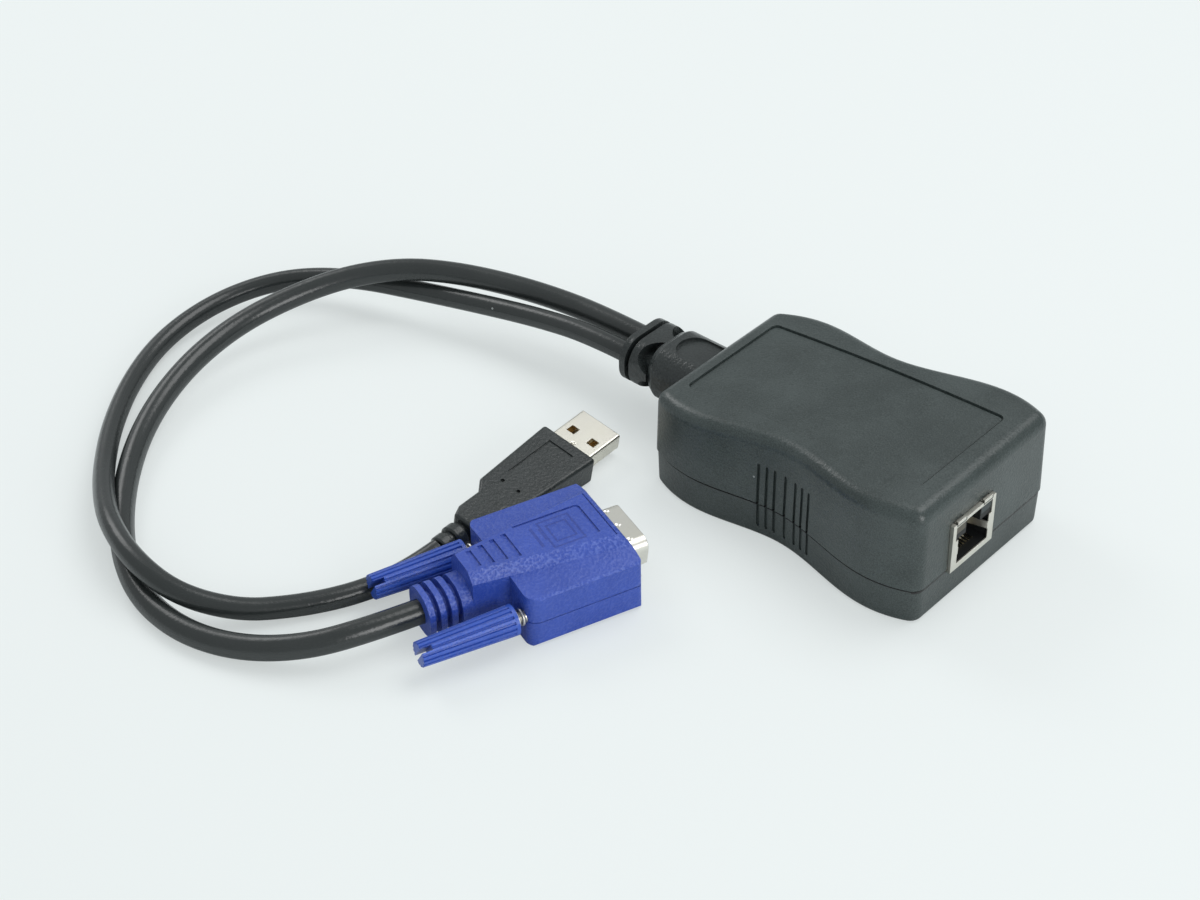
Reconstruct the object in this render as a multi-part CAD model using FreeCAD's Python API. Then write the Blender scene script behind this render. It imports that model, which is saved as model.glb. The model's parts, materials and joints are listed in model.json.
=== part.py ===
import FreeCAD, Part
import math
import os

# A server access dongle: a waisted two-shell case with a network jack at one end, and a video plug and a
# USB plug on two short cables at the other. All sizes are in millimetres. The origin is under the middle
# of the case, on the surface that it lies on: +X points out of the network jack and +Z points up.

vec = FreeCAD.Vector
up = vec(0, 0, 1)
along = vec(1, 0, 0)
os.makedirs("parts", exist_ok=True)

# Case
case_length = 78.0
case_wall = 2.2                 # side walls and ceiling
floor_wall = 2.2
parting_height = 9.7            # where the two shells meet
cable_end_half = 22.4           # half widths of the outline at the parting line, cable end first
cable_lobe_half = 25.9
waist_half = 22.8
jack_lobe_half = 27.5
jack_end_half = 24.2
cable_lobe_share = -0.30        # places of the lobes and the waist, as shares of the length from the middle
waist_share = -0.02
jack_lobe_share = 0.32
top_at_cable = 25.5             # heights of the crowned top at the cable end, the middle and the jack end
top_at_middle = 29.4
top_at_jack = 31.1
side_draft = 1.2                # degrees that the walls lean in, away from the parting line
corner_radius = 3.4
shoulder_radius = 3.2
base_radius = 1.2
shell_step = 0.25               # the upper shell stands this far proud of the lower one
reveal = 0.45                   # height and depth of the shadow line under the parting
lip_height = 1.2
lip_gap = 0.10
panel_length = 66.0             # shallow bare panel in the top
panel_width = 33.0
panel_offset = -1.2
panel_depth = 0.45
panel_corner = 1.6
panel_line_width = 0.4          # a finer, deeper line runs round inside the panel's edge
panel_line_depth = 0.3

# Grip grooves at the waist
groove_width = 0.8
groove_depth = 0.8
groove_bottom = 2.8
groove_top = 21.0
groove_inner_pitch = 3.1
groove_outer_pitch = 2.2
groove_outer_count = 3          # on each side of the middle one

# Case screws
screw_inset = 9.7               # from the ends of the case
screw_side_inset = 5.2          # from the outline's half width at the cable end
screw_radius = 1.3
screw_length = 14.5
screw_head_radius = 2.5
screw_head_height = 1.7
screw_drive_radius = 0.9
screw_drive_tip = 0.2
screw_drive_depth = 1.0
screw_recess = 0.5              # the heads lie this far inside the base
boss_radius = 2.8
pilot_gap = 0.05
hole_gap = 0.25

# Circuit board and what it carries
board_thickness = 1.6
board_top = 8.8
board_side_gap = 0.6            # to the side walls at the cable end
board_cable_gap = 4.2           # to the end walls
board_jack_gap = 0.4
board_corner = 2.0
processor_size = 20.0
processor_height = 1.5
converter_size = 14.0
converter_height = 1.4
chip_y = 2.0
chip_gap = 0.7                  # between neighbours in the row
chip_chamfer = 0.3              # as a share of the height
transformer_length = 12.0
transformer_width = 9.0
transformer_gap = 1.0           # it stands beside the network jack
transformer_height = 6.0
crystal_length = 11.0
crystal_width = 4.6
crystal_height = 3.6
crystal_gap = 1.0               # behind the processor
crystal_rounding = 0.45         # of its ends, as a share of its width
capacitor_radius = 2.5
capacitor_height = 7.0
capacitor_pitch = 6.4
capacitor_count = 3
capacitor_inset = 6.1           # from the board's near edge
header_depth = 5.0
header_height = 5.6
header_inset = 3.0              # from the board's end
header_chamfer = 0.5
video_header_width = 12.0
usb_header_width = 7.0
header_y = 7.5
video_lead_count = 6
usb_lead_count = 4
lead_y = 5.5
lead_size = 0.9
lead_pitch = 1.5
lead_height = 12.2

# Network jack
jack_width = 16.0
jack_height = 13.2
jack_depth = 16.0
jack_y = -5.6
jack_proud = 0.8                # how far its front stands out of the case
jack_sheet = 0.3
jack_hole_gap = 0.15
jack_plug_width = 11.8
jack_plug_height = 6.9
jack_sill = 1.6                 # from the underside to the floor of the opening
jack_latch_width = 5.4
jack_latch_rise = 3.9           # above the top of the plug opening
jack_cavity_depth = 12.8
light_width = 4.1
light_height = 2.3
light_length = 9.0
light_web = 0.35                # between a light pipe and the latch channel
light_rise = 1.5                # above the top of the plug opening
tab_length = 3.0
tab_height = 0.5
tab_offset = 5.0                # from the jack's middle
tab_gap = 0.1
finger_bottom = 4.3             # above the underside
finger_height = 2.0
finger_length = 5.3
finger_lean = 1.6
finger_sheet = 0.25
contact_count = 8
contact_pitch = 1.02
contact_width = 0.45
contact_sheet = 0.3
contact_flat = 1.6
contact_run = 5.8
contact_rise = 2.2
contact_start = 2.4

# Strain relief
boot_height = 15.2              # of its axis over the surface
boot_length = 23.1              # outside the case
boot_width = 18.6
boot_depth = 15.2               # vertical size of the body
boot_corner = 6.5
plate_width = 18.2
plate_depth = 12.8              # vertical size of the two plates at the cable end
plate_corner = 5.6
plate_thickness = 1.8
slot_width = 1.3
rear_plate_length = 5.6         # from the slot to the body, windows included
window_radius = 4.4             # round windows, cut off straight at the body
window_reach = 3.6
window_angle = 35.0             # of their direction above and below the middle
core_radius = 3.2
core_width = 13.4
core_depth = 6.4
core_corner = 3.1
nose_length = 1.8
nose_step = 1.0
neck_width = 13.0
neck_height = 10.0              # over the parting plane
neck_rounding = 0.6             # of its roof, as a share of its half width
boot_gap = 0.10
inner_flange_width = 16.0
inner_flange_thickness = 2.0
inner_flange_rise = 1.4
inner_flange_gap = 0.35         # from the end wall, which leans in
thumb_recess_depth = 0.9
thumb_recess_half = 5.0
thumb_recess_length = 11.0
thumb_recess_end = 0.8          # it stops this short of the case

# Cables: their routes are chosen point by point
video_cable_diameter = 5.8
usb_cable_diameter = 5.2
cable_spacing = 7.6             # between the two where they leave the strain relief
bend_share = 0.45               # of the shorter run at each corner that its arc takes up

# Video plug, drawn along its own axis from the rear of its wide part
video_yaw = 70.4
video_x = -35.2
video_y = -80.0
video_axis_height = 7.2
hood_length = 27.9
hood_half_width = 15.9
hood_side_height = 13.6
hood_shelf_height = 14.2
hood_height = 16.7
hood_rear_corner = 3.0
hood_front_corner = 1.0
hood_edge = 0.8                 # bevel along the foot, and a finer one along the top of the sides
hood_top_edge = 0.5
hood_front_roll = 2.6           # radius with which the top falls off at the front
hood_seam_height = 6.7
hood_seam = 0.2                 # width and depth of the line where its two halves meet
spine_rear_length = 8.5
spine_tail_half = 5.4           # foot of the raised middle at its rear end, and of its flat top
spine_tail_top_half = 3.3
spine_half = 6.6                # the same at the rear of the wide part
spine_top_half = 4.6
spine_front_half = 11.2         # the same at the front, where it spreads into a crown
spine_front_top_half = 8.5
spine_front_shelf = 14.9
spine_foot = 0.7
grip_slot_count = 4
grip_slot_pitch = 3.05
grip_slot_width = 1.2
grip_slot_depth = 0.45
grip_slot_start = -6.1
grip_slot_half = 2.9
grip_slot_growth = 0.45
frame_line_width = 0.6
frame_line_depth = 0.35
frame_line_corner = 1.2
frame_line_rear = 6.6
frame_line_front = 23.0
frame_line_side = 5.5
front_line_inset = 2.0
front_line_width = 0.3
relief_length = 10.5
relief_rib_count = 4
relief_rib_half_width = 5.6
relief_rib_half_height = 5.4
relief_rib_corner = 4.6
relief_core_radius = 3.7
relief_slot = 1.2
jackscrew_spacing = 24.99
jackscrew_bore_radius = 1.65
jackscrew_shank_radius = 1.60
jackscrew_thread_radius = 1.42
jackscrew_thread_length = 9.0
jackscrew_tip = 1.0             # beyond the hood's front
jackscrew_collar_radius = 2.1
jackscrew_collar_length = 0.7
jackscrew_collar_place = 0.7    # behind the hood
jackscrew_neck = 2.3            # bare between knob and hood
knob_length = 22.8
knob_front_radius = 3.6
knob_tip_radius = 2.95
knob_ridge_count = 16
knob_ridge_depth = 0.42
knob_ridge_shares = (0.0, 0.5, 0.62, 0.88)     # of one pitch: crest from and to, floor from and to
knob_collar_length = 0.9
knob_slot_width = 1.2
knob_slot_depth = 2.6
knob_slot_angle = 35.0          # as the screws happen to stand
knob_bore_depth = 17.0
shell_reach = 5.9
shell_half_width = 8.45
shell_half_height = 4.18
shell_slant = 10.0
shell_corner = 2.4
shell_sheet = 0.4
flange_half_width = 9.9
flange_half_height = 5.6
flange_thickness = 0.9
dent_count = 3
dent_pitch = 5.6
dent_x = 2.4                    # from the hood's front
dent_radius = 1.3
dent_depth = 0.22
insert_rise = 1.2
insert_gap = 0.05
pins_per_row = 5
pin_rows = 3
pin_pitch = 2.29
pin_row_pitch = 1.98
pin_stagger = 0.25              # share of the pitch that each row is shifted by
pin_radius = 0.38
pin_length = 4.2
pin_seat = 0.6

# USB plug, drawn along its own axis from the front face of its grip
usb_yaw = 92.4
usb_roll = 10.5                 # it leans on its near edge
usb_x = -57.1
usb_y = -33.4
grip_height = 7.6
grip_half_front = 8.1
grip_half_rear = 6.7
grip_length = 24.7
grip_slope = 3.2                # sloping step behind the wide part
grip_neck_length = 6.8
grip_neck_half = 4.2
grip_tail_slope = 3.0           # second step, down to the relief
grip_tail_half = 2.9
grip_corner = 0.9
grip_edge = 0.9
grip_line_width = 0.55
grip_line_depth = 0.3
grip_line_inset = 3.3
grip_line_side = 3.7
grip_line_length = 14.9
mark_radius = 0.5
mark_depth = 0.6
mark_x = -21.5
mark_y = 2.45
usb_relief_length = 7.8
usb_relief_radius = 3.3
usb_relief_core = 2.3
usb_relief_rings = 2
usb_relief_growth = 0.35        # each ring forward of the last is larger by this
usb_relief_bevel = 0.4
usb_relief_slot = 1.0
usb_shell_width = 12.0
usb_shell_height = 4.5
usb_shell_reach = 11.75
usb_shell_seat = 4.0
usb_shell_sheet = 0.3
usb_shell_corner = 0.55
usb_window = 2.3
usb_window_x = 4.9
usb_window_y = 3.1
usb_dent_x = 1.2                # small round dent between the grip and the windows
usb_dent_radius = 0.9
usb_dent_depth = 0.15
tongue_thickness = 1.95
tongue_gap = 0.05
tongue_setback = 0.6
tongue_root_gap = 0.5           # its thick root stops this far inside the grip
usb_contact_count = 4
usb_contact_pitch = 2.25
usb_contact_width = 1.0
usb_contact_sheet = 0.2
usb_contact_length = 7.4
usb_contact_setback = 1.2

# Of the modelling itself, not of the object
beyond = 1.0                    # cutting tools reach this far past what they cut
bite = 0.1                      # pieces that are joined run this far into each other
clear_above = 3.0               # room over the top while the case is cut to its crown
least_corner = 0.8              # corner radius of the inner walls
post_length = 8.0               # upright edges longer than this are corners of a plug

# Worked out from the sizes above
case_shift = -jack_proud / 2.0
cable_face = case_shift - case_length / 2.0
jack_face = case_shift + case_length / 2.0
jack_front = jack_face + jack_proud
inner_cable_face = cable_face + case_wall
boot_end = cable_face - boot_length
inner_jack_face = jack_face - case_wall
neck_top = parting_height + neck_height
jack_floor = board_top + jack_sill
plug_top = jack_floor + jack_plug_height
board_bottom = board_top - board_thickness
board_left = inner_cable_face + board_cable_gap
board_right = inner_jack_face - board_jack_gap
board_half_width = cable_end_half - case_wall - board_side_gap
screw_y = cable_end_half - screw_side_inset
screw_rows = (cable_face + screw_inset, jack_face - screw_inset)
screw_places = [(x, y) for x in screw_rows for y in (-screw_y, screw_y)]
header_x = board_left + header_inset
converter_x = header_x + header_depth + chip_gap + converter_size / 2.0
processor_x = converter_x + converter_size / 2.0 + chip_gap + processor_size / 2.0


# Plain shapes

def block(x0, x1, y0, y1, z0, z1):
    return Part.makeBox(x1 - x0, y1 - y0, z1 - z0, vec(x0, y0, z0))


def rod(radius, start, direction, length):
    return Part.makeCylinder(radius, length, start, direction)


def polygon_prism(points, travel):
    corners = [vec(*p) for p in points]
    return Part.Face(Part.makePolygon(corners + corners[:1])).extrude(travel)


def rounded_section(x, half_width, half_height, radius, y, z):
    """A rounded rectangle in a plane across X, as a closed wire."""
    edges = []
    centres = [(1, 1, 0), (-1, 1, 90), (-1, -1, 180), (1, -1, 270)]
    ends = []
    for sy, sz, start in centres:
        cy = y + sy * (half_width - radius)
        cz = z + sz * (half_height - radius)
        arc_points = [vec(x, cy + radius * math.cos(math.radians(start + step)),
                          cz + radius * math.sin(math.radians(start + step))) for step in (0, 45, 90)]
        ends.append(arc_points)
    for index, arc_points in enumerate(ends):
        edges.append(Part.Arc(*arc_points).toShape())
        following = ends[(index + 1) % 4][0]
        if arc_points[2].distanceToPoint(following) > 1e-6:
            edges.append(Part.LineSegment(arc_points[2], following).toShape())
    return Part.Wire(edges)


def rounded_bar(x0, x1, half_width, half_height, radius, y, z):
    return Part.Face(rounded_section(x0, half_width, half_height, radius, y, z)).extrude(vec(x1 - x0, 0, 0))


def upright_edges(solid, lowest=0.5):
    """Edges that run mostly along Z."""
    chosen = []
    for edge in solid.Edges:
        ends = [v.Point for v in edge.Vertexes]
        if len(ends) == 2:
            run = ends[1].sub(ends[0])
            if abs(run.z) > 0.9 * run.Length and run.Length > lowest:
                chosen.append(edge)
    return chosen


def rim_edges(solid, height):
    """Edges that lie wholly at one height."""
    boxes = [(edge, edge.BoundBox) for edge in solid.Edges]
    return [edge for edge, box in boxes if max(abs(box.ZMin - height), abs(box.ZMax - height)) < 1e-4]


def fuse(first, *others):
    return first.multiFuse(list(others)).removeSplitter()


def save(name, solids):
    shape = solids[0] if len(solids) == 1 else Part.makeCompound(solids)
    for solid in shape.Solids:
        if not solid.isValid() or solid.Volume <= 0:
            raise ValueError(name + " has a faulty solid")
    shape.exportStep("parts/" + name + ".step")
    print(name, len(shape.Solids), "solids", round(sum(s.Volume for s in shape.Solids), 1), "mm3")


# Case

def side_curve(inset, sign=1):
    """One long side of the case's outline: a smooth curve through the lobes and the waist."""
    stations = [(cable_face + inset, cable_end_half),
                (case_shift + cable_lobe_share * case_length, cable_lobe_half),
                (case_shift + waist_share * case_length, waist_half),
                (case_shift + jack_lobe_share * case_length, jack_lobe_half),
                (jack_face - inset, jack_end_half)]
    curve = Part.BSplineCurve()
    curve.interpolate([vec(x, sign * (half - inset), 0) for x, half in stations])
    return curve


def side_at(x):
    """Half width of the case at x, at the parting line."""
    curve = side_curve(0)
    return curve.value(curve.parameter(vec(x, waist_half, 0))).y


def outline(inset, z):
    left = side_curve(inset, 1)
    right = side_curve(inset, -1)
    edges = [left.toShape(),
             Part.LineSegment(left.EndPoint, right.EndPoint).toShape(),
             right.toShape(),
             Part.LineSegment(right.StartPoint, left.StartPoint).toShape()]
    wire = Part.Wire(Part.__sortEdges__(edges))
    wire.translate(vec(0, 0, z))
    return wire


def case_hull(inset, z0, z1, leaning=1):
    """The outline at a given inset, leaning in by the draft: upwards with 1, downwards with -1."""
    lean = leaning * math.tan(math.radians(side_draft))
    sections = [outline(inset + (z - parting_height) * lean, z) for z in (z0, z1)]
    hull = Part.makeLoft(sections, True, True)
    return hull.makeFillet(max(corner_radius - inset, least_corner), upright_edges(hull))


def straight_hull(inset, z0, z1):
    hull = Part.Face(outline(inset, z0)).extrude(vec(0, 0, z1 - z0))
    return hull.makeFillet(max(corner_radius - inset, least_corner), upright_edges(hull))


def under_top(drop):
    """Everything under the crowned, sloping top, lowered by drop."""
    reach = case_length / 2.0 + clear_above
    ends = [vec(case_shift - reach, 0, top_at_cable - drop), vec(case_shift + reach, 0, top_at_jack - drop)]
    crown = Part.Arc(ends[0], vec(case_shift, 0, top_at_middle - drop), ends[1]).toShape()
    feet = [vec(ends[1].x, 0, -beyond), vec(ends[0].x, 0, -beyond)]
    sides = Part.makePolygon([ends[1], feet[0], feet[1], ends[0]])
    face = Part.Face(Part.Wire([crown] + sides.Edges))
    breadth = 2.0 * (max(jack_lobe_half, cable_lobe_half) + clear_above)
    face.translate(vec(0, -breadth / 2.0, 0))
    return face.extrude(vec(0, breadth, 0))


def panel_pocket():
    """A rounded rectangle that follows the top at the panel's depth, with a line inside its edge."""
    line = panel_column(0).cut(panel_column(panel_line_width))
    return [panel_column(0).cut(under_top(panel_depth)), line.cut(under_top(panel_depth + panel_line_depth))]


def panel_column(inset):
    middle = case_shift + panel_offset
    half_length = panel_length / 2.0 - inset
    half_width = panel_width / 2.0 - inset
    tall = block(middle - half_length, middle + half_length, -half_width, half_width,
                 parting_height + clear_above, top_at_jack + clear_above)
    return tall.makeFillet(panel_corner - inset, upright_edges(tall))


def grip_grooves():
    offsets = [groove_inner_pitch + k * groove_outer_pitch for k in range(groove_outer_count)]
    places = [-offset for offset in reversed(offsets)] + [0.0] + offsets
    half = groove_width / 2.0
    tools = []
    for x in places:
        floor = side_at(x) - groove_depth
        for side in (-1, 1):
            y0, y1 = sorted((side * floor, side * (floor + clear_above)))
            low = groove_bottom + half
            high = groove_top - half
            slot = block(x - half, x + half, y0, y1, low, high)
            ends = [rod(half, vec(x, y0, z), vec(0, 1, 0), y1 - y0) for z in (low, high)]
            tools.append(fuse(slot, *ends))
    return tools


def jack_opening():
    half = jack_width / 2.0 + jack_hole_gap
    return block(inner_jack_face - 2.0 * beyond, jack_face + 2.0 * beyond, jack_y - half, jack_y + half,
                 board_top - jack_hole_gap, board_top + jack_height + jack_hole_gap)


def neck_shape(x0, x1, gap):
    """The U-shaped way through the end wall, with its flat foot on the parting plane."""
    half = neck_width / 2.0 + gap
    top = neck_top + gap
    body = block(x0, x1, -half, half, parting_height, top)
    roof = [e for e in rim_edges(body, top) if e.BoundBox.XLength > e.BoundBox.YLength]
    return body.makeFillet(half * neck_rounding, roof)


def upper_shell():
    high = top_at_jack + clear_above
    outer = case_hull(0, parting_height, high).common(under_top(0))
    top_face = max(outer.Faces, key=lambda face: face.CenterOfMass.z)
    outer = outer.makeFillet(shoulder_radius, top_face.OuterWire.Edges)
    cavity = case_hull(case_wall, parting_height, high).common(under_top(case_wall))
    lip_room = straight_hull(case_wall / 2.0, parting_height, parting_height + lip_height + lip_gap)
    bosses = [rod(boss_radius, vec(x, y, board_top), up, top_at_jack) for x, y in screw_places]
    bosses = [boss.common(under_top(case_wall / 2.0)) for boss in bosses]
    pilots = [rod(screw_radius + pilot_gap, vec(x, y, board_top), up, screw_end() + beyond - board_top)
              for x, y in screw_places]
    shell = outer.cut([cavity, lip_room]).multiFuse(bosses).removeSplitter()
    neck = neck_shape(cable_face - beyond, inner_cable_face + beyond, boot_gap)
    return shell.cut(pilots + panel_pocket() + [jack_opening(), neck] + grip_grooves())


def screw_seat():
    return screw_recess + screw_head_height


def screw_end():
    return screw_seat() + screw_length


def lower_shell():
    outer = case_hull(shell_step, 0, parting_height - reveal, -1)
    outer = outer.makeFillet(base_radius, rim_edges(outer, 0))
    shadow_wall = straight_hull(shell_step + reveal, floor_wall, parting_height)
    lip_wall = straight_hull(case_wall / 2.0 + lip_gap, floor_wall, parting_height + lip_height)
    cavity = case_hull(case_wall, floor_wall, parting_height + lip_height + beyond, -1)
    foot = floor_wall / 2.0
    bosses = [rod(boss_radius, vec(x, y, foot), up, board_bottom - foot) for x, y in screw_places]
    shell = fuse(outer, shadow_wall, lip_wall).cut(cavity).multiFuse(bosses).removeSplitter()
    tools = []
    for x, y in screw_places:
        tools.append(rod(screw_head_radius + hole_gap, vec(x, y, -beyond), up, beyond + screw_seat()))
        tools.append(rod(screw_radius + hole_gap, vec(x, y, 0), up, parting_height))
    half = inner_flange_width / 2.0 + beyond
    tools.append(block(cable_face - beyond, inner_cable_face + 2.0 * beyond, -half, half,
                       parting_height, parting_height + lip_height + beyond))
    return shell.cut(tools + [jack_opening()] + grip_grooves())


def case_screws():
    screws = []
    for x, y in screw_places:
        head = rod(screw_head_radius, vec(x, y, screw_recess), up, screw_head_height)
        shank = rod(screw_radius, vec(x, y, screw_recess), up, screw_head_height + screw_length)
        drive = Part.makeCone(screw_drive_radius, screw_drive_tip, screw_drive_depth,
                              vec(x, y, screw_recess), up)
        screws.append(fuse(head, shank).cut(drive))
    return screws


# Board

def circuit_board():
    board = block(board_left, board_right, -board_half_width, board_half_width, board_bottom, board_top)
    board = board.makeChamfer(board_corner, upright_edges(board))
    depth = board_thickness + 2.0 * beyond
    radius = screw_radius + hole_gap
    holes = [rod(radius, vec(x, y, board_bottom - beyond), up, depth) for x, y in screw_places]
    return board.cut(holes)


def chip(x, y, size, height):
    half = size / 2.0
    body = block(x - half, x + half, y - half, y + half, board_top, board_top + height)
    return body.makeChamfer(height * chip_chamfer, rim_edges(body, board_top + height))


def capacitors():
    """A row along the near edge, from under the processor's left side."""
    first = processor_x - processor_size / 2.0
    y = capacitor_inset - board_half_width
    return [rod(capacitor_radius, vec(first + k * capacitor_pitch, y, board_top), up, capacitor_height)
            for k in range(capacitor_count)]


def transformer():
    x1 = board_right - transformer_gap
    y0 = jack_y + jack_width / 2.0 + transformer_gap
    z1 = board_top + transformer_height
    return block(x1 - transformer_length, x1, y0, y0 + transformer_width, board_top, z1)


def crystal():
    x1 = processor_x + processor_size / 2.0
    y0 = chip_y + processor_size / 2.0 + crystal_gap
    can = block(x1 - crystal_length, x1, y0, y0 + crystal_width, board_top, board_top + crystal_height)
    return can.makeFillet(crystal_width * crystal_rounding, upright_edges(can))


def cable_header(y, width):
    top = board_top + header_height
    body = block(header_x, header_x + header_depth, y - width / 2.0, y + width / 2.0, board_top, top)
    return body.makeChamfer(header_chamfer, rim_edges(body, top))


def leads(y, count):
    """Cut wires from the strain relief's inner face to the side of a header."""
    first = y - (count - 1) * lead_pitch / 2.0 - lead_size / 2.0
    x0 = inner_cable_face + inner_flange_gap + inner_flange_thickness
    return [block(x0, header_x, first + k * lead_pitch, first + k * lead_pitch + lead_size,
                  lead_height, lead_height + lead_size) for k in range(count)]


# Network jack

def jack_front_hole(x0, x1):
    """Plug opening, latch channel and light windows in one outline."""
    low = block(x0, x1, jack_y - jack_plug_width / 2.0, jack_y + jack_plug_width / 2.0, jack_floor, plug_top)
    z0 = plug_top - bite
    half = jack_latch_width / 2.0
    reach = half + light_width
    lights = block(x0, x1, jack_y - reach, jack_y + reach, z0, plug_top + light_rise + light_height)
    latch = block(x0, x1, jack_y - half, jack_y + half, z0, plug_top + jack_latch_rise)
    return fuse(low, lights, latch)


def jack_shield():
    half = jack_width / 2.0
    rear = jack_front - jack_depth
    top = board_top + jack_height
    outer = block(rear, jack_front, jack_y - half, jack_y + half, board_top, top)
    inner = half - jack_sheet
    room = block(rear + jack_sheet, jack_front - jack_sheet, jack_y - inner, jack_y + inner,
                 board_top + jack_sheet, top - jack_sheet)
    shield = outer.cut([room, jack_front_hole(jack_front - beyond, jack_front + beyond)])
    tabs = [spring_tab(jack_y + side * tab_offset, top) for side in (-1, 1)]
    return fuse(shield, jack_finger(1), jack_finger(-1), *tabs)


def spring_tab(y, top):
    """One of two springs on the shield's roof, in front of the case's end wall."""
    half = tab_length / 2.0
    return block(jack_face + tab_gap, jack_front, y - half, y + half, top - bite, top + tab_height)


def jack_finger(side):
    """A grounding spring folded from the front edge into the opening, leaning in as it goes."""
    y = jack_y + side * jack_plug_width / 2.0
    z = board_top + finger_bottom
    front = jack_front - jack_sheet
    tip = front - finger_length
    root = y + side * bite
    points = [(front, root, z), (jack_front, root, z), (jack_front, y - side * 2.0 * bite, z),
              (tip, y - side * finger_lean, z), (tip, y - side * (finger_lean - finger_sheet), z)]
    return polygon_prism(points, vec(0, 0, finger_height))


def jack_body():
    """Black moulding inside the shield, open to the front for the plug, its latch and the light pipes."""
    half = jack_width / 2.0 - jack_sheet
    front = jack_front - jack_sheet
    rear = jack_front - jack_depth + jack_sheet
    body = block(rear, front, jack_y - half, jack_y + half,
                 board_top + jack_sheet, board_top + jack_height - jack_sheet)
    back = front - jack_cavity_depth
    wide = jack_plug_width / 2.0 + jack_sheet
    cavity = block(back, front + beyond, jack_y - wide, jack_y + wide, jack_floor, plug_top)
    latch_half = jack_latch_width / 2.0
    latch = block(back, front + beyond, jack_y - latch_half, jack_y + latch_half,
                  plug_top - bite, plug_top + jack_latch_rise - jack_sheet)
    return body.cut([cavity, latch] + [light_bar(side) for side in (-1, 1)])


def light_bar(side):
    """A light pipe beside the latch channel."""
    inner = jack_y + side * (jack_latch_width / 2.0 + light_web)
    y0, y1 = sorted((inner, inner + side * (light_width - light_web)))
    z0 = plug_top + light_rise
    front = jack_front - jack_sheet
    return block(front - light_length, front, y0, y1, z0, z0 + light_height)


def jack_contacts():
    """Spring wires that lie on the floor of the opening and rise to the back."""
    start = jack_front - contact_start
    bend = start - contact_flat
    rear = bend - contact_run
    high = jack_floor + contact_rise
    profile = [(start, jack_floor), (bend, jack_floor), (rear, high), (rear, high + contact_sheet),
               (bend + bite, jack_floor + contact_sheet), (start, jack_floor + contact_sheet)]
    first = jack_y - (contact_count - 1) * contact_pitch / 2.0 - contact_width / 2.0
    return [polygon_prism([(x, first + k * contact_pitch, z) for x, z in profile], vec(0, contact_width, 0))
            for k in range(contact_count)]


# Strain relief

def strain_relief():
    z = boot_height
    half = boot_width / 2.0
    plate_half = plate_width / 2.0
    plate_end = boot_end + plate_thickness
    rear_plate = plate_end + slot_width
    body_start = rear_plate + rear_plate_length
    nose_end = body_start + nose_length
    plate = rounded_bar(boot_end, plate_end, plate_half, plate_depth / 2.0, plate_corner, 0, z)
    rear = rounded_bar(rear_plate, body_start, plate_half, plate_depth / 2.0, plate_corner, 0, z)
    rear = rear.cut(boot_windows(body_start))
    core = rounded_bar(boot_end + bite, body_start + beyond, core_width / 2.0, core_depth / 2.0,
                       core_corner, 0, z)
    nose = Part.makeLoft([rounded_section(body_start, half - nose_step, boot_depth / 2.0 - nose_step,
                                          boot_corner - nose_step, 0, z),
                          rounded_section(nose_end, half, boot_depth / 2.0, boot_corner, 0, z)], True, True)
    body = rounded_bar(nose_end, cable_face, half, boot_depth / 2.0, boot_corner, 0, z)
    flange_start = inner_cable_face + inner_flange_gap
    neck = neck_shape(cable_face, flange_start, 0)
    flange_half = inner_flange_width / 2.0
    flange = block(flange_start, flange_start + inner_flange_thickness, -flange_half, flange_half,
                   parting_height, neck_top + inner_flange_rise)
    relief = fuse(core, plate, rear, nose, body, neck, flange)
    return relief.cut(thumb_recess())


def boot_windows(chord):
    """Four half-moon windows round the cables: rods across the corners, cut off at the body."""
    centre = chord - window_reach + window_radius
    keep = block(chord - 2.0 * window_radius, chord, -boot_width, boot_width, -boot_depth, 3.0 * boot_depth)
    tools = []
    for side in (-1, 1):
        for lift in (-1, 1):
            angle = math.radians(window_angle)
            out = vec(0, side * math.cos(angle), lift * math.sin(angle))
            window = rod(window_radius, vec(centre, 0, boot_height) + out * core_radius, out, boot_width)
            tools.append(window.common(keep))
    return tools


def thumb_recess():
    """A shallow round-ended recess on top of the body, open towards the case."""
    start = cable_face - thumb_recess_length
    z0 = boot_height + boot_depth / 2.0 - thumb_recess_depth
    half = thumb_recess_half
    straight = block(start + half, cable_face - thumb_recess_end, -half, half, z0, z0 + beyond)
    return fuse(straight, rod(half, vec(start + half, 0, z0), up, beyond))


# Cables

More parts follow.
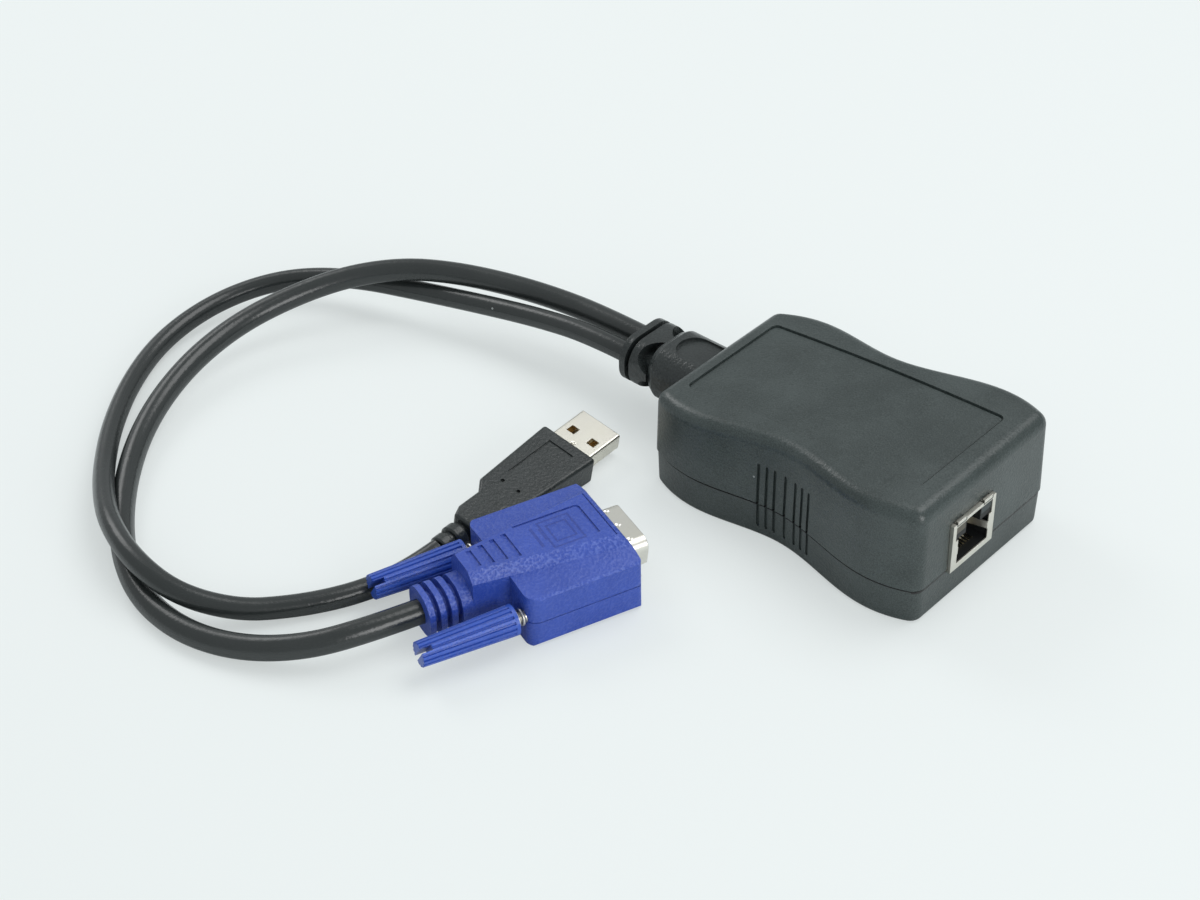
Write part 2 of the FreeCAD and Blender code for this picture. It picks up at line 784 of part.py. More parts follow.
video_route = [(-78.5, 3.8, 15.0), (-94.0, 1.9, 15.2), (-109.0, -2.0, 15.4), (-122.5, -7.2, 15.4),
               (-133.5, -14.0, 15.2), (-143.0, -24.5, 14.0), (-150.0, -37.5, 11.6), (-154.0, -52.0, 9.2),
               (-153.5, -67.0, 7.2), (-149.5, -81.5, 5.4), (-142.5, -95.0, 4.0), (-133.0, -107.0, 3.2),
               (-121.5, -118.0, 2.9), (-108.5, -127.3, 2.9), (-94.5, -133.0, 2.9), (-80.0, -133.8, 2.9),
               (-66.5, -129.8, 3.4), (-54.5, -122.3, 5.4), (-46.4, -111.5, 7.2)]
usb_route = [(-77.0, -3.8, 15.0), (-94.0, -5.4, 13.2), (-112.0, -8.2, 10.8), (-130.0, -12.4, 9.0),
             (-147.0, -18.0, 8.2), (-160.5, -26.0, 7.0), (-168.5, -37.0, 5.6), (-172.0, -51.0, 4.2),
             (-170.0, -67.0, 3.2), (-162.5, -82.5, 2.8), (-151.0, -97.5, 3.2), (-138.0, -109.8, 4.8),
             (-126.0, -118.8, 7.4), (-114.0, -125.8, 9.8), (-100.0, -130.2, 9.8), (-86.5, -129.3, 6.9),
             (-75.2, -121.6, 3.6), (-67.8, -112.0, 2.7), (-62.2, -103.2, 2.7), (-59.0, -95.2, 2.7),
             (-57.2, -88.6, 3.2), (-55.8, -83.2, 4.3)]


def route_path(points):
    """Straight runs joined by tangent arcs, each as large as its two runs allow."""
    edges = []
    here = points[0]
    radii = []
    for before, corner, after in zip(points, points[1:], points[2:]):
        turn = corner.sub(before).getAngle(after.sub(corner))
        reach = bend_share * min(corner.distanceToPoint(before), after.distanceToPoint(corner))
        radius = reach / math.tan(turn / 2.0)
        back = before.sub(corner).normalize()
        ahead = after.sub(corner).normalize()
        entry = corner + back * reach
        leave = corner + ahead * reach
        middle_line = (back + ahead).normalize()
        centre_distance = math.hypot(radius, reach)
        middle = corner + middle_line * (centre_distance - radius)
        edges.append(Part.LineSegment(here, entry).toShape())
        edges.append(Part.Arc(entry, middle, leave).toShape())
        here = leave
        radii.append(round(radius, 1))
    edges.append(Part.LineSegment(here, points[-1]).toShape())
    return Part.Wire(edges), radii


def cable(name, start, route, end, diameter):
    points = [start] + [vec(*p) for p in route] + [end]
    path, radii = route_path(points)
    section = Part.Wire(Part.makeCircle(diameter / 2.0, points[0], points[1].sub(points[0])))
    tube = path.makePipeShell([section], True, True)
    print(name, "length", round(path.Length, 1), "radii", radii)
    return tube


# Video plug

def on_video_plug(shape):
    shape.rotate(vec(0, 0, 0), up, video_yaw)
    shape.translate(vec(video_x, video_y, 0))
    return shape


def mirrored_section(x, side):
    """A closed outline across the plug's axis from the points of its left half."""
    points = [vec(x, y, z) for y, z in side] + [vec(x, -y, z) for y, z in reversed(side)]
    return Part.makePolygon(points + points[:1])


def hood_section(x, foot_half, top_half, shelf_height):
    """The wide part across its axis: upright sides, a shelf on each, and the raised middle."""
    return mirrored_section(x, [(hood_half_width - hood_edge, 0), (hood_half_width, hood_edge),
                                (hood_half_width, hood_side_height - hood_top_edge),
                                (hood_half_width - hood_top_edge, hood_side_height),
                                (foot_half, shelf_height), (top_half, hood_height)])


def spine_section(x, foot_half, top_half):
    side = [(foot_half, spine_foot), (foot_half, hood_shelf_height), (top_half, hood_height)]
    return mirrored_section(x, side)


def front_roll():
    """Everything behind a front whose top edge is rounded."""
    x0 = hood_length - hood_front_roll
    turn = hood_front_roll * math.sqrt(0.5)
    arc = Part.Arc(vec(x0, 0, hood_height), vec(x0 + turn, 0, hood_height - hood_front_roll + turn),
                   vec(hood_length, 0, hood_height - hood_front_roll)).toShape()
    rear = -spine_rear_length - beyond
    rest = Part.makePolygon([vec(hood_length, 0, hood_height - hood_front_roll), vec(hood_length, 0, -beyond),
                             vec(rear, 0, -beyond), vec(rear, 0, hood_height), vec(x0, 0, hood_height)])
    face = Part.Face(Part.Wire([arc] + rest.Edges))
    half = hood_half_width + beyond
    face.translate(vec(0, -half, 0))
    return face.extrude(vec(0, 2.0 * half, 0))


def video_hood():
    rear = hood_section(0, spine_half, spine_top_half, hood_shelf_height)
    front = hood_section(hood_length, spine_front_half, spine_front_top_half, spine_front_shelf)
    wings = Part.makeLoft([rear, front], True, True)
    posts = [e for e in upright_edges(wings, post_length) if e.BoundBox.XMax < hood_length / 2.0]
    wings = wings.makeFillet(hood_rear_corner, posts)
    posts = [e for e in upright_edges(wings, post_length) if e.BoundBox.XMin > hood_length / 2.0]
    wings = wings.makeFillet(hood_front_corner, posts)
    spine = Part.makeLoft([spine_section(-spine_rear_length, spine_tail_half, spine_tail_top_half),
                           spine_section(0, spine_half, spine_top_half)], True, True)
    hood = fuse(wings.common(front_roll()), spine, video_relief())
    tools = [rod(jackscrew_bore_radius, vec(-beyond, y, video_axis_height), along, hood_length + 2.0 * beyond)
             for y in jackscrew_sides()]
    tools.append(flange_block(hood_length + beyond))
    return hood.cut(tools + grip_slots() + frame_lines() + [hood_seam_line()])


def hood_seam_line():
    """A fine groove round the wide part where the two halves of its mould meet."""
    z0 = hood_seam_height - hood_seam / 2.0
    z1 = z0 + hood_seam
    low = z0 - beyond
    high = z1 + beyond
    half = hood_half_width + beyond
    around = block(-beyond, hood_length + beyond, -half, half, z0, z1)
    half = hood_half_width - hood_seam
    inside = block(hood_seam, hood_length - hood_seam, -half, half, low, high)
    middle = block(-2.0 * beyond, hood_length + 2.0 * beyond, -spine_half, spine_half, low, high)
    return around.cut([inside.makeFillet(hood_rear_corner, upright_edges(inside)), middle])


def jackscrew_sides():
    return (-jackscrew_spacing / 2.0, jackscrew_spacing / 2.0)


def grip_slots():
    slots = []
    z0 = hood_height - grip_slot_depth
    for k in range(grip_slot_count):
        x = grip_slot_start + k * grip_slot_pitch
        half = grip_slot_half + k * grip_slot_growth
        slots.append(block(x, x + grip_slot_width, -half, half, z0, hood_height + beyond))
    return slots


def frame_lines():
    """The L-shaped line that frames two sides of the top's bare field, and a straight one at the front."""
    z0 = hood_height - frame_line_depth
    z1 = hood_height + beyond
    side = frame_line_side
    width = frame_line_width
    outer = corner_block(frame_line_rear, frame_line_front, -side, side, z0, z1, frame_line_corner)
    inner = corner_block(frame_line_rear - beyond, frame_line_front - width, -side - beyond, side - width,
                         z0 - beyond, z1 + beyond, frame_line_corner - width)
    front = hood_length - front_line_inset
    half = spine_front_top_half - front_line_width
    front_line = block(front - front_line_width, front, -half, half, z0, z1)
    return [outer.cut(inner), front_line]


def corner_block(x0, x1, y0, y1, z0, z1, radius):
    """A block with one rounded upright edge, at x1 and y1."""
    body = block(x0, x1, y0, y1, z0, z1)
    posts = [e for e in upright_edges(body) if e.BoundBox.XMin > x0 and e.BoundBox.YMin > y0]
    return body.makeFillet(radius, posts)


def video_relief():
    """Ribs around the cable's core, cut apart by slots; the last one joins the raised middle."""
    pitch = relief_length / relief_rib_count
    start = video_rear()
    ribs = []
    for k in range(relief_rib_count):
        rear = start + k * pitch
        front = rear + pitch - relief_slot if k < relief_rib_count - 1 else rear + pitch + beyond
        ribs.append(rounded_bar(rear, front, relief_rib_half_width, relief_rib_half_height,
                                relief_rib_corner, 0, video_axis_height))
    core = rod(relief_core_radius, vec(start + bite, 0, video_axis_height), along, relief_length + beyond)
    return fuse(core, *ribs)


def video_rear():
    return -spine_rear_length - relief_length


def d_section(x, grow):
    """The D outline of the plug's shell: wide side up, all corners rounded, larger by grow."""
    slant = math.tan(math.radians(shell_slant))
    top = shell_half_height + grow
    wide = shell_half_width + grow
    narrow = wide - 2.0 * top * slant
    outline = ((-wide, top), (wide, top), (narrow, -top), (-narrow, -top))
    corners = [vec(x, y, video_axis_height + lift) for y, lift in outline]
    return Part.Face(Part.makePolygon(corners + corners[:1]))


def d_bar(x0, x1, grow):
    bar = d_section(x0, grow).extrude(vec(x1 - x0, 0, 0))
    lengthwise = [e for e in bar.Edges if e.BoundBox.XLength > 0.9 * abs(x1 - x0)]
    return bar.makeFillet(shell_corner + grow, lengthwise)


def video_shell():
    """Drawn steel: a flange and the D-shaped tube that stands out of it."""
    front = hood_length + shell_reach
    tube = d_bar(hood_length - flange_thickness, front, 0)
    shell = fuse(flange_block(hood_length), tube)
    return shell.cut([d_bar(hood_length - 2.0 * beyond, front + beyond, -shell_sheet)] + shell_dents())


def flange_block(x1):
    return block(hood_length - flange_thickness, x1, -flange_half_width, flange_half_width,
                 video_axis_height - flange_half_height, video_axis_height + flange_half_height)


def shell_dents():
    tools = []
    rise = shell_half_height + dent_radius - dent_depth
    for side in (-1, 1):
        for k in range(dent_count):
            y = (k - (dent_count - 1) / 2.0) * dent_pitch
            place = vec(hood_length + dent_x, y, video_axis_height + side * rise)
            tools.append(Part.makeSphere(dent_radius, place))
    return tools


def pin_places():
    places = []
    for row in range(pin_rows):
        z = video_axis_height + (1 - row) * pin_row_pitch
        shift = pin_stagger * pin_pitch * (-1 if row == 1 else 1)
        first = -(pins_per_row - 1) * pin_pitch / 2.0 + shift
        places += [(first + k * pin_pitch, z) for k in range(pins_per_row)]
    return places


def video_insert():
    body = d_bar(hood_length - flange_thickness, hood_length + insert_rise, -shell_sheet - insert_gap)
    seats = [rod(pin_radius, vec(hood_length + insert_rise - pin_seat, y, z), along, pin_seat + 1.0)
             for y, z in pin_places()]
    return body.cut(seats)


def video_pins():
    start = hood_length + insert_rise - pin_seat
    return [rod(pin_radius, vec(start, y, z), along, pin_seat + pin_length) for y, z in pin_places()]


def ridge_section(x, radius, y):
    """A closed outline of square ridges round the knob's axis."""
    points = []
    step = 2.0 * math.pi / knob_ridge_count
    for k in range(knob_ridge_count):
        for share, depth in zip(knob_ridge_shares, (0, 0, knob_ridge_depth, knob_ridge_depth)):
            angle = (k + share) * step
            out = radius - depth
            points.append(vec(x, y + out * math.cos(angle), video_axis_height + out * math.sin(angle)))
    return Part.makePolygon(points + points[:1])


def thumbscrew_knob(y):
    front = -jackscrew_neck
    tip = front - knob_length
    grip = Part.makeLoft([ridge_section(tip, knob_tip_radius, y),
                          ridge_section(front - knob_collar_length, knob_front_radius, y)], True, True)
    z = video_axis_height
    collar = rod(knob_front_radius, vec(front - knob_collar_length, y, z), along, knob_collar_length)
    bore = rod(jackscrew_shank_radius, vec(front - knob_bore_depth, y, z), along, knob_bore_depth + beyond)
    half = knob_slot_width / 2.0
    reach = knob_front_radius + beyond
    slot = block(tip - beyond, tip + knob_slot_depth, y - half, y + half, z - reach, z + reach)
    slot.rotate(vec(0, y, z), along, knob_slot_angle)
    return fuse(grip, collar).cut([bore, slot])


def jackscrew(y):
    axis = vec(0, y, video_axis_height)
    rear = -jackscrew_neck - knob_bore_depth
    thread_start = hood_length + jackscrew_tip - jackscrew_thread_length
    shank = rod(jackscrew_shank_radius, axis + along * rear, along, thread_start - rear)
    thread = rod(jackscrew_thread_radius, axis + along * (thread_start - beyond), along,
                 jackscrew_thread_length + beyond)
    collar = rod(jackscrew_collar_radius, axis + along * (-jackscrew_collar_place - jackscrew_collar_length),
                 along, jackscrew_collar_length)
    return fuse(shank, thread, collar)


# USB plug

def on_usb_plug(shape):
    """Roll the plug onto its near edge, turn it, and put it down on that edge."""
    roll = math.radians(usb_roll)
    lean = (grip_half_front - grip_edge) * math.sin(roll) + (grip_height / 2.0 - grip_edge) * math.cos(roll)
    shape.translate(vec(0, 0, -grip_height / 2.0))
    shape.rotate(vec(0, 0, 0), along, usb_roll)
    shape.rotate(vec(0, 0, 0), up, usb_yaw)
    shape.translate(vec(usb_x, usb_y, lean + grip_edge))
    return shape


def usb_grip():
    rear = -grip_length
    neck = rear - grip_slope
    neck_end = neck - grip_neck_length
    side = [(0, grip_half_front), (rear, grip_half_rear), (neck, grip_neck_half), (neck_end, grip_neck_half),
            (grip_rear(), grip_tail_half)]
    outline_points = [(x, y, 0) for x, y in side] + [(x, -y, 0) for x, y in reversed(side)]
    grip = polygon_prism(outline_points, vec(0, 0, grip_height))
    grip = grip.makeFillet(grip_corner, upright_edges(grip))
    grip = grip.makeFillet(grip_edge, rim_edges(grip, 0) + rim_edges(grip, grip_height))
    pocket = rounded_bar(-usb_shell_seat, beyond, usb_shell_width / 2.0, usb_shell_height / 2.0,
                         usb_shell_corner, 0, grip_height / 2.0)
    return fuse(grip, usb_relief()).cut([pocket] + grip_lines() + grip_marks())


def usb_relief():
    """A neck of rings behind the grip, turned about the plug's axis."""
    front = grip_rear() + usb_relief_slot
    rear = usb_rear()
    pitch = usb_relief_length / usb_relief_rings
    bevel = usb_relief_bevel
    profile = [(rear, 0)]
    for k in range(usb_relief_rings):
        start = rear + k * pitch
        end = start + pitch - usb_relief_slot
        radius = usb_relief_radius - usb_relief_growth * (usb_relief_rings - 1 - k)
        profile += [(start, radius - bevel), (start + bevel, radius), (end - bevel, radius),
                    (end, radius - bevel), (end, usb_relief_core), (start + pitch, usb_relief_core)]
    profile += [(front, usb_relief_core), (front, 0)]
    points = [vec(x, 0, grip_height / 2.0 + r) for x, r in profile]
    face = Part.Face(Part.makePolygon(points + points[:1]))
    return face.revolve(vec(0, 0, grip_height / 2.0), along, 360.0)


def grip_rear():
    return -grip_length - grip_slope - grip_neck_length - grip_tail_slope


def usb_rear():
    return grip_rear() - usb_relief_length


def grip_lines():
    z0 = grip_height - grip_line_depth
    side = grip_line_side
    z1 = grip_height + beyond
    x1 = -grip_line_inset
    long_arm = block(x1 - grip_line_length, x1, side - grip_line_width, side, z0, z1)
    short_arm = block(x1 - grip_line_width, x1, -side, side, z0, z1)
    return [long_arm, short_arm]


def grip_marks():
    return [rod(mark_radius, vec(mark_x, y, grip_height - mark_depth), up, mark_depth + beyond)
            for y in (-mark_y, mark_y)]


def usb_shell():
    z = grip_height / 2.0
    half_width = usb_shell_width / 2.0
    half_height = usb_shell_height / 2.0
    outer = rounded_bar(-usb_shell_seat, usb_shell_reach, half_width, half_height, usb_shell_corner, 0, z)
    inner = rounded_bar(-usb_shell_seat - beyond, usb_shell_reach + beyond, half_width - usb_shell_sheet,
                        half_height - usb_shell_sheet, usb_shell_corner - usb_shell_sheet, 0, z)
    windows = [usb_window_tool(side * usb_window_y, z) for side in (-1, 1)]
    dent_z = z + half_height + usb_dent_radius - usb_dent_depth
    dent = Part.makeSphere(usb_dent_radius, vec(usb_dent_x, 0, dent_z))
    return outer.cut([inner, dent] + windows)


def usb_window_tool(y, z):
    half = usb_window / 2.0
    return block(usb_window_x - half, usb_window_x + half, y - half, y + half,
                 z - usb_shell_height, z + usb_shell_height)


def usb_tongue():
    half = usb_shell_width / 2.0 - usb_shell_sheet - tongue_gap
    low = grip_height / 2.0 - usb_shell_height / 2.0 + usb_shell_sheet
    root_half = usb_shell_height / 2.0 - usb_shell_sheet - tongue_gap
    root = rounded_bar(-usb_shell_seat, -tongue_root_gap, half, root_half, usb_shell_corner, 0,
                       grip_height / 2.0)
    ledge = rounded_bar(-usb_shell_seat, usb_shell_reach - tongue_setback, half, tongue_thickness / 2.0,
                        usb_shell_corner, 0, low + tongue_thickness / 2.0)
    return fuse(ledge, root)


def usb_contacts():
    top = grip_height / 2.0 - usb_shell_height / 2.0 + usb_shell_sheet + tongue_thickness
    front = usb_shell_reach - tongue_setback - usb_contact_setback
    half = usb_contact_width / 2.0
    strips = []
    for k in range(usb_contact_count):
        y = (k - (usb_contact_count - 1) / 2.0) * usb_contact_pitch
        rear = front - usb_contact_length
        strips.append(block(rear, front, y - half, y + half, top, top + usb_contact_sheet))
    return strips


# Nodes

save("upper_shell", [upper_shell()])
save("lower_shell", [lower_shell()])
save("case_screws", case_screws())
save("circuit_board", [circuit_board()])
save("main_processor", [chip(processor_x, chip_y, processor_size, processor_height)])
save("video_converter", [chip(converter_x, chip_y, converter_size, converter_height)])
save("network_transformer", [transformer()])
save("crystal", [crystal()])
save("filter_capacitors", capacitors())
save("video_header", [cable_header(header_y, video_header_width)])
save("usb_header", [cable_header(-header_y, usb_header_width)])
save("video_leads", leads(lead_y, video_lead_count))
save("usb_leads", leads(-lead_y, usb_lead_count))
save("network_jack_shield", [jack_shield()])
save("network_jack_body", [jack_body()])
save("network_jack_lights", [light_bar(-1), light_bar(1)])
save("network_jack_contacts", jack_contacts())
save("strain_relief", [strain_relief()])

video_end = on_video_plug(Part.Vertex(video_rear(), 0, video_axis_height)).Point
usb_end = on_usb_plug(Part.Vertex(usb_rear(), 0, grip_height / 2.0)).Point
video_start = vec(boot_end, cable_spacing / 2.0, boot_height)
usb_start = vec(boot_end, -cable_spacing / 2.0, boot_height)
save("video_cable", [cable("video", video_start, video_route, video_end, video_cable_diameter)])
save("usb_cable", [cable("usb", usb_start, usb_route, usb_end, usb_cable_diameter)])

save("video_hood", [on_video_plug(video_hood())])
save("video_shell", [on_video_plug(video_shell())])
save("video_insert", [on_video_plug(video_insert())])
save("video_pins", [on_video_plug(pin) for pin in video_pins()])
for label, side in (("near", jackscrew_sides()[0]), ("far", jackscrew_sides()[1])):
    save("thumbscrew_" + label, [on_video_plug(thumbscrew_knob(side))])
    save("jackscrew_" + label, [on_video_plug(jackscrew(side))])

save("usb_grip", [on_usb_plug(usb_grip())])
save("usb_shell", [on_usb_plug(usb_shell())])
save("usb_tongue", [on_usb_plug(usb_tongue())])
save("usb_contacts", [on_usb_plug(strip) for strip in usb_contacts()])
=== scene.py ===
import json
import math
import bpy
import numpy as np
from mathutils import Matrix, Vector


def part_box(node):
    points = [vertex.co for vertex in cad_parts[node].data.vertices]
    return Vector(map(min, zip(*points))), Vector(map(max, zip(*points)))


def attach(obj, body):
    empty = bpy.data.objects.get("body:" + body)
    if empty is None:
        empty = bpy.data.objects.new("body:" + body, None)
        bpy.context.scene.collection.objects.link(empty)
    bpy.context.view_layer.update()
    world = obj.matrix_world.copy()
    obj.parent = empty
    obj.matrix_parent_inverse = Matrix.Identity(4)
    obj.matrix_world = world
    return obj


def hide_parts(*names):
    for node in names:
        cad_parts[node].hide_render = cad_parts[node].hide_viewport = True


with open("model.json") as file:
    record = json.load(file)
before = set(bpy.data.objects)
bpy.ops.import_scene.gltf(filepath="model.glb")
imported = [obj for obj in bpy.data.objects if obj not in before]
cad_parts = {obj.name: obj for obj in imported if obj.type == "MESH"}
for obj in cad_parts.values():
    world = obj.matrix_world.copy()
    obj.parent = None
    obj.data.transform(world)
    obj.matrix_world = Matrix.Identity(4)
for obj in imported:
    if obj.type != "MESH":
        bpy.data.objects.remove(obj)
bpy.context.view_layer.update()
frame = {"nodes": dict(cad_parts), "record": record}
nodes = frame["nodes"]
joints = {joint["name"]: joint for joint in frame["record"]["behaviour"]["joints"]}
scene = bpy.context.scene
print("frame loaded:", len(nodes), "nodes")

# Node helpers: set or link an input, add a node, work out a sum


def feed(tree, socket, value):
    if isinstance(value, bpy.types.NodeSocket):
        tree.links.new(value, socket)
    else:
        socket.default_value = value


def place(tree, kind, values, **settings):
    node = tree.nodes.new("ShaderNode" + kind)
    for key, setting in settings.items():
        setattr(node, key, setting)
    for socket, value in values.items():
        feed(tree, node.inputs[socket], value)
    return node


def calc(tree, operation, *values):
    return place(tree, "Math", dict(enumerate(values)), operation=operation).outputs[0]


# Camera, floor and light

cameraSetup = {"place": (0.2413, -0.3418, 0.3410), "aim": (-0.5378, 0.5757, -0.6158), "tiltDegrees": -1.38,
               "lens": 68.28, "sensor": 36}


def placeCamera(setup):
    camera = bpy.data.objects.new("camera", bpy.data.cameras.new("camera"))
    scene.collection.objects.link(camera)
    camera.data.lens = setup["lens"]
    camera.data.sensor_width = setup["sensor"]
    turn = Vector(setup["aim"]).to_track_quat("-Z", "Y").to_matrix()
    turn = turn @ Matrix.Rotation(math.radians(setup["tiltDegrees"]), 3, "Z")
    camera.matrix_world = Matrix.Translation(setup["place"]) @ turn.to_4x4()
    scene.camera = camera


roomSetup = {"paper": {"Base Color": (0.80, 0.84, 0.84, 1), "Roughness": 0.75, "Specular IOR Level": 0.2},
             "floorHalf": 3.0, "seenColour": (0.835, 0.880, 0.875, 1), "floorShare": 0.55, "worldShare": 1.0,
             "worldColour": (0.93, 0.98, 0.99, 1), "worldStrength": 0.56}


def showEven(tree, lit, even, share, output):
    # The camera sees the lit surface mixed with an even colour by that share, and light meets it as lit.
    seen = calc(tree, "MULTIPLY", place(tree, "LightPath", {}).outputs["Is Camera Ray"], share)
    mix = place(tree, "MixShader", {0: seen, 1: lit, 2: even})
    feed(tree, output.inputs["Surface"], mix.outputs["Shader"])


def layFloor(setup):
    half = setup["floorHalf"]
    mesh = bpy.data.meshes.new("tableTop")
    corners = [(-half, -half, 0), (half, -half, 0), (half, half, 0), (-half, half, 0)]
    mesh.from_pydata(corners, [], [(0, 1, 2, 3)])
    floor = bpy.data.objects.new("tableTop", mesh)
    scene.collection.objects.link(floor)
    material = bpy.data.materials.new("tablePaper")
    material.use_nodes = True
    tree = material.node_tree
    paper = tree.nodes["Principled BSDF"]
    for socket, value in setup["paper"].items():
        feed(tree, paper.inputs[socket], value)
    even = place(tree, "Emission", {"Color": setup["seenColour"]}).outputs["Emission"]
    showEven(tree, paper.outputs["BSDF"], even, setup["floorShare"], tree.nodes["Material Output"])
    mesh.materials.append(material)


def lightWorld(setup):
    world = bpy.data.worlds.new("room")
    world.use_nodes = True
    scene.world = world
    tree = world.node_tree
    lit = tree.nodes["Background"]
    feed(tree, lit.inputs["Color"], setup["worldColour"])
    feed(tree, lit.inputs["Strength"], setup["worldStrength"])
    even = place(tree, "Background", {"Color": setup["seenColour"]}).outputs["Background"]
    showEven(tree, lit.outputs["Background"], even, setup["worldShare"], tree.nodes["World Output"])


lampAim = Vector((-0.05, -0.03, 0.0))
lampSetup = [  # large round soft boxes
    {"name": "softBoxOver", "place": (0.10, 0.42, 0.95), "size": 0.80, "watts": 4.5},
    {"name": "softBoxLeft", "place": (-0.80, 0.05, 0.62), "size": 0.45, "watts": 1.8},
    {"name": "softBoxRight", "place": (0.95, -0.25, 0.42), "size": 0.60, "watts": 4.6}]


def placeLamps(lamps):
    for lamp in lamps:
        light = bpy.data.lights.new(lamp["name"], "AREA")
        light.shape = "DISK"
        light.size = lamp["size"]
        light.energy = lamp["watts"]
        holder = bpy.data.objects.new(lamp["name"], light)
        scene.collection.objects.link(holder)
        turn = (lampAim - Vector(lamp["place"])).to_track_quat("-Z", "Y").to_matrix().to_4x4()
        holder.matrix_world = Matrix.Translation(lamp["place"]) @ turn


scene.view_settings.view_transform = "Standard"
placeCamera(cameraSetup)
layFloor(roomSetup)
lightWorld(roomSetup)
placeLamps(lampSetup)
print("camera, floor and light are in place")

# Shapes worked out as whole arrays

sharpDegrees = 32  # steeper corners than this keep a hard edge


def closedSurface(name, points, body, node):
    # Rows run along the shape and columns round it; each end is closed by a fan to the mean of its row.
    rows, columns = points.shape[:2]
    index = np.arange(rows * columns).reshape(rows, columns)
    beside = np.roll(index, -1, axis=1)
    sides = np.stack([index[:-1], beside[:-1], beside[1:], index[1:]], axis=-1).reshape(-1, 4)
    rear = np.stack([beside[0], index[0], np.full(columns, rows * columns)], axis=-1)
    front = np.stack([index[-1], beside[-1], np.full(columns, rows * columns + 1)], axis=-1)
    places = np.concatenate([points.reshape(-1, 3), points[:1].mean(axis=1), points[-1:].mean(axis=1)])
    mesh = bpy.data.meshes.new(name)
    mesh.from_pydata(places.tolist(), [], sides.tolist() + rear.tolist() + front.tolist())
    mesh.shade_smooth()
    mesh.set_sharp_from_angle(angle=math.radians(sharpDegrees))
    piece = bpy.data.objects.new(name, mesh)
    scene.collection.objects.link(piece)
    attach(piece, body)
    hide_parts(node)
    return piece


# Cables: each follows one smooth line drawn by the points of its route

videoCableSetup = {"diameter": 0.0058, "length": 0.2965, "columns": 32, "node": "video_cable", "route": [
    (-0.0625, 0.0038, 0.0150), (-0.0785, 0.0038, 0.0150), (-0.0940, 0.0019, 0.0152),
    (-0.1090, -0.0020, 0.0154), (-0.1225, -0.0072, 0.0154), (-0.1335, -0.0140, 0.0152),
    (-0.1430, -0.0245, 0.0140), (-0.1500, -0.0375, 0.0116), (-0.1540, -0.0520, 0.0092),
    (-0.1535, -0.0670, 0.0072), (-0.1495, -0.0815, 0.0054), (-0.1425, -0.0950, 0.0040),
    (-0.1330, -0.1070, 0.0032), (-0.1215, -0.1180, 0.0029), (-0.1085, -0.1273, 0.0029),
    (-0.0945, -0.1330, 0.0029), (-0.0800, -0.1338, 0.0029), (-0.0665, -0.1298, 0.0034),
    (-0.0545, -0.1223, 0.0054), (-0.0464, -0.1115, 0.0072), (-0.04157, -0.0979, 0.0072)]}

usbCableSetup = {"diameter": 0.0052, "length": 0.3192, "columns": 32, "node": "usb_cable", "route": [
    (-0.0625, -0.0038, 0.0150), (-0.0770, -0.0038, 0.0150), (-0.0940, -0.0054, 0.0132),
    (-0.1120, -0.0082, 0.0108), (-0.1300, -0.0124, 0.0090), (-0.1470, -0.0180, 0.0082),
    (-0.1605, -0.0260, 0.0070), (-0.1685, -0.0370, 0.0056), (-0.1720, -0.0510, 0.0042),
    (-0.1700, -0.0670, 0.0032), (-0.1625, -0.0825, 0.0028), (-0.1510, -0.0975, 0.0032),
    (-0.1380, -0.1098, 0.0048), (-0.1260, -0.1188, 0.0074), (-0.1140, -0.1258, 0.0098),
    (-0.1000, -0.1302, 0.0098), (-0.0865, -0.1293, 0.0069), (-0.0752, -0.1216, 0.0036),
    (-0.0678, -0.1120, 0.0027), (-0.0622, -0.1032, 0.0027), (-0.0590, -0.0952, 0.0027),
    (-0.0572, -0.0886, 0.0032), (-0.0558, -0.0832, 0.0043), (-0.055195, -0.07886, 0.005064)]}


def layCable(name, setup):
    # Surface = line + radius * (cos(angle) * normal + sin(angle) * side), with side = tangent x vertical.
    curve = bpy.data.curves.new(name + "Line", "CURVE")
    curve.dimensions = "3D"
    line = curve.splines.new("NURBS")
    line.points.add(len(setup["route"]) - 1)
    flat = np.ones((len(setup["route"]), 4))
    flat[:, :3] = setup["route"]
    line.points.foreach_set("co", flat.ravel())
    line.order_u = 3
    line.use_endpoint_u = True
    line.resolution_u = 10
    guide = bpy.data.objects.new(name + "Line", curve)
    thread = bpy.data.meshes.new_from_object(guide)
    path = np.empty(3 * len(thread.vertices))
    thread.vertices.foreach_get("co", path)
    path = path.reshape(-1, 3)
    bpy.data.objects.remove(guide)
    bpy.data.curves.remove(curve)
    bpy.data.meshes.remove(thread)
    tangent = np.gradient(path, axis=0)
    tangent /= np.linalg.norm(tangent, axis=1, keepdims=True)
    side = np.cross(tangent, (0.0, 0.0, 1.0))
    side /= np.linalg.norm(side, axis=1, keepdims=True)
    normal = np.cross(side, tangent)
    angle = np.linspace(0, 2 * np.pi, setup["columns"], endpoint=False)[:, None]
    ring = np.cos(angle) * normal[:, None] + np.sin(angle) * side[:, None]
    points = path[:, None] + setup["diameter"] / 2 * ring
    return closedSurface(name, points, "dongle", setup["node"]), path


videoCable, videoPath = layCable("videoCable", videoCableSetup)
usbCable, usbPath = layCable("usbCable", usbCableSetup)
print("cables laid")

# The video plug's own axes: origin at the rear of its wide part, along it, across it and up
nearHinge = np.array(joints["near_screw_turn"]["pos_m"])
farHinge = np.array(joints["far_screw_turn"]["pos_m"])
plugOrigin = (nearHinge + farHinge) / 2
plugAlong = np.array(joints["near_screw_turn"]["axis"])
plugAcross = np.array([-plugAlong[1], plugAlong[0], 0.0])
plugUp = np.array([0.0, 0.0, 1.0])

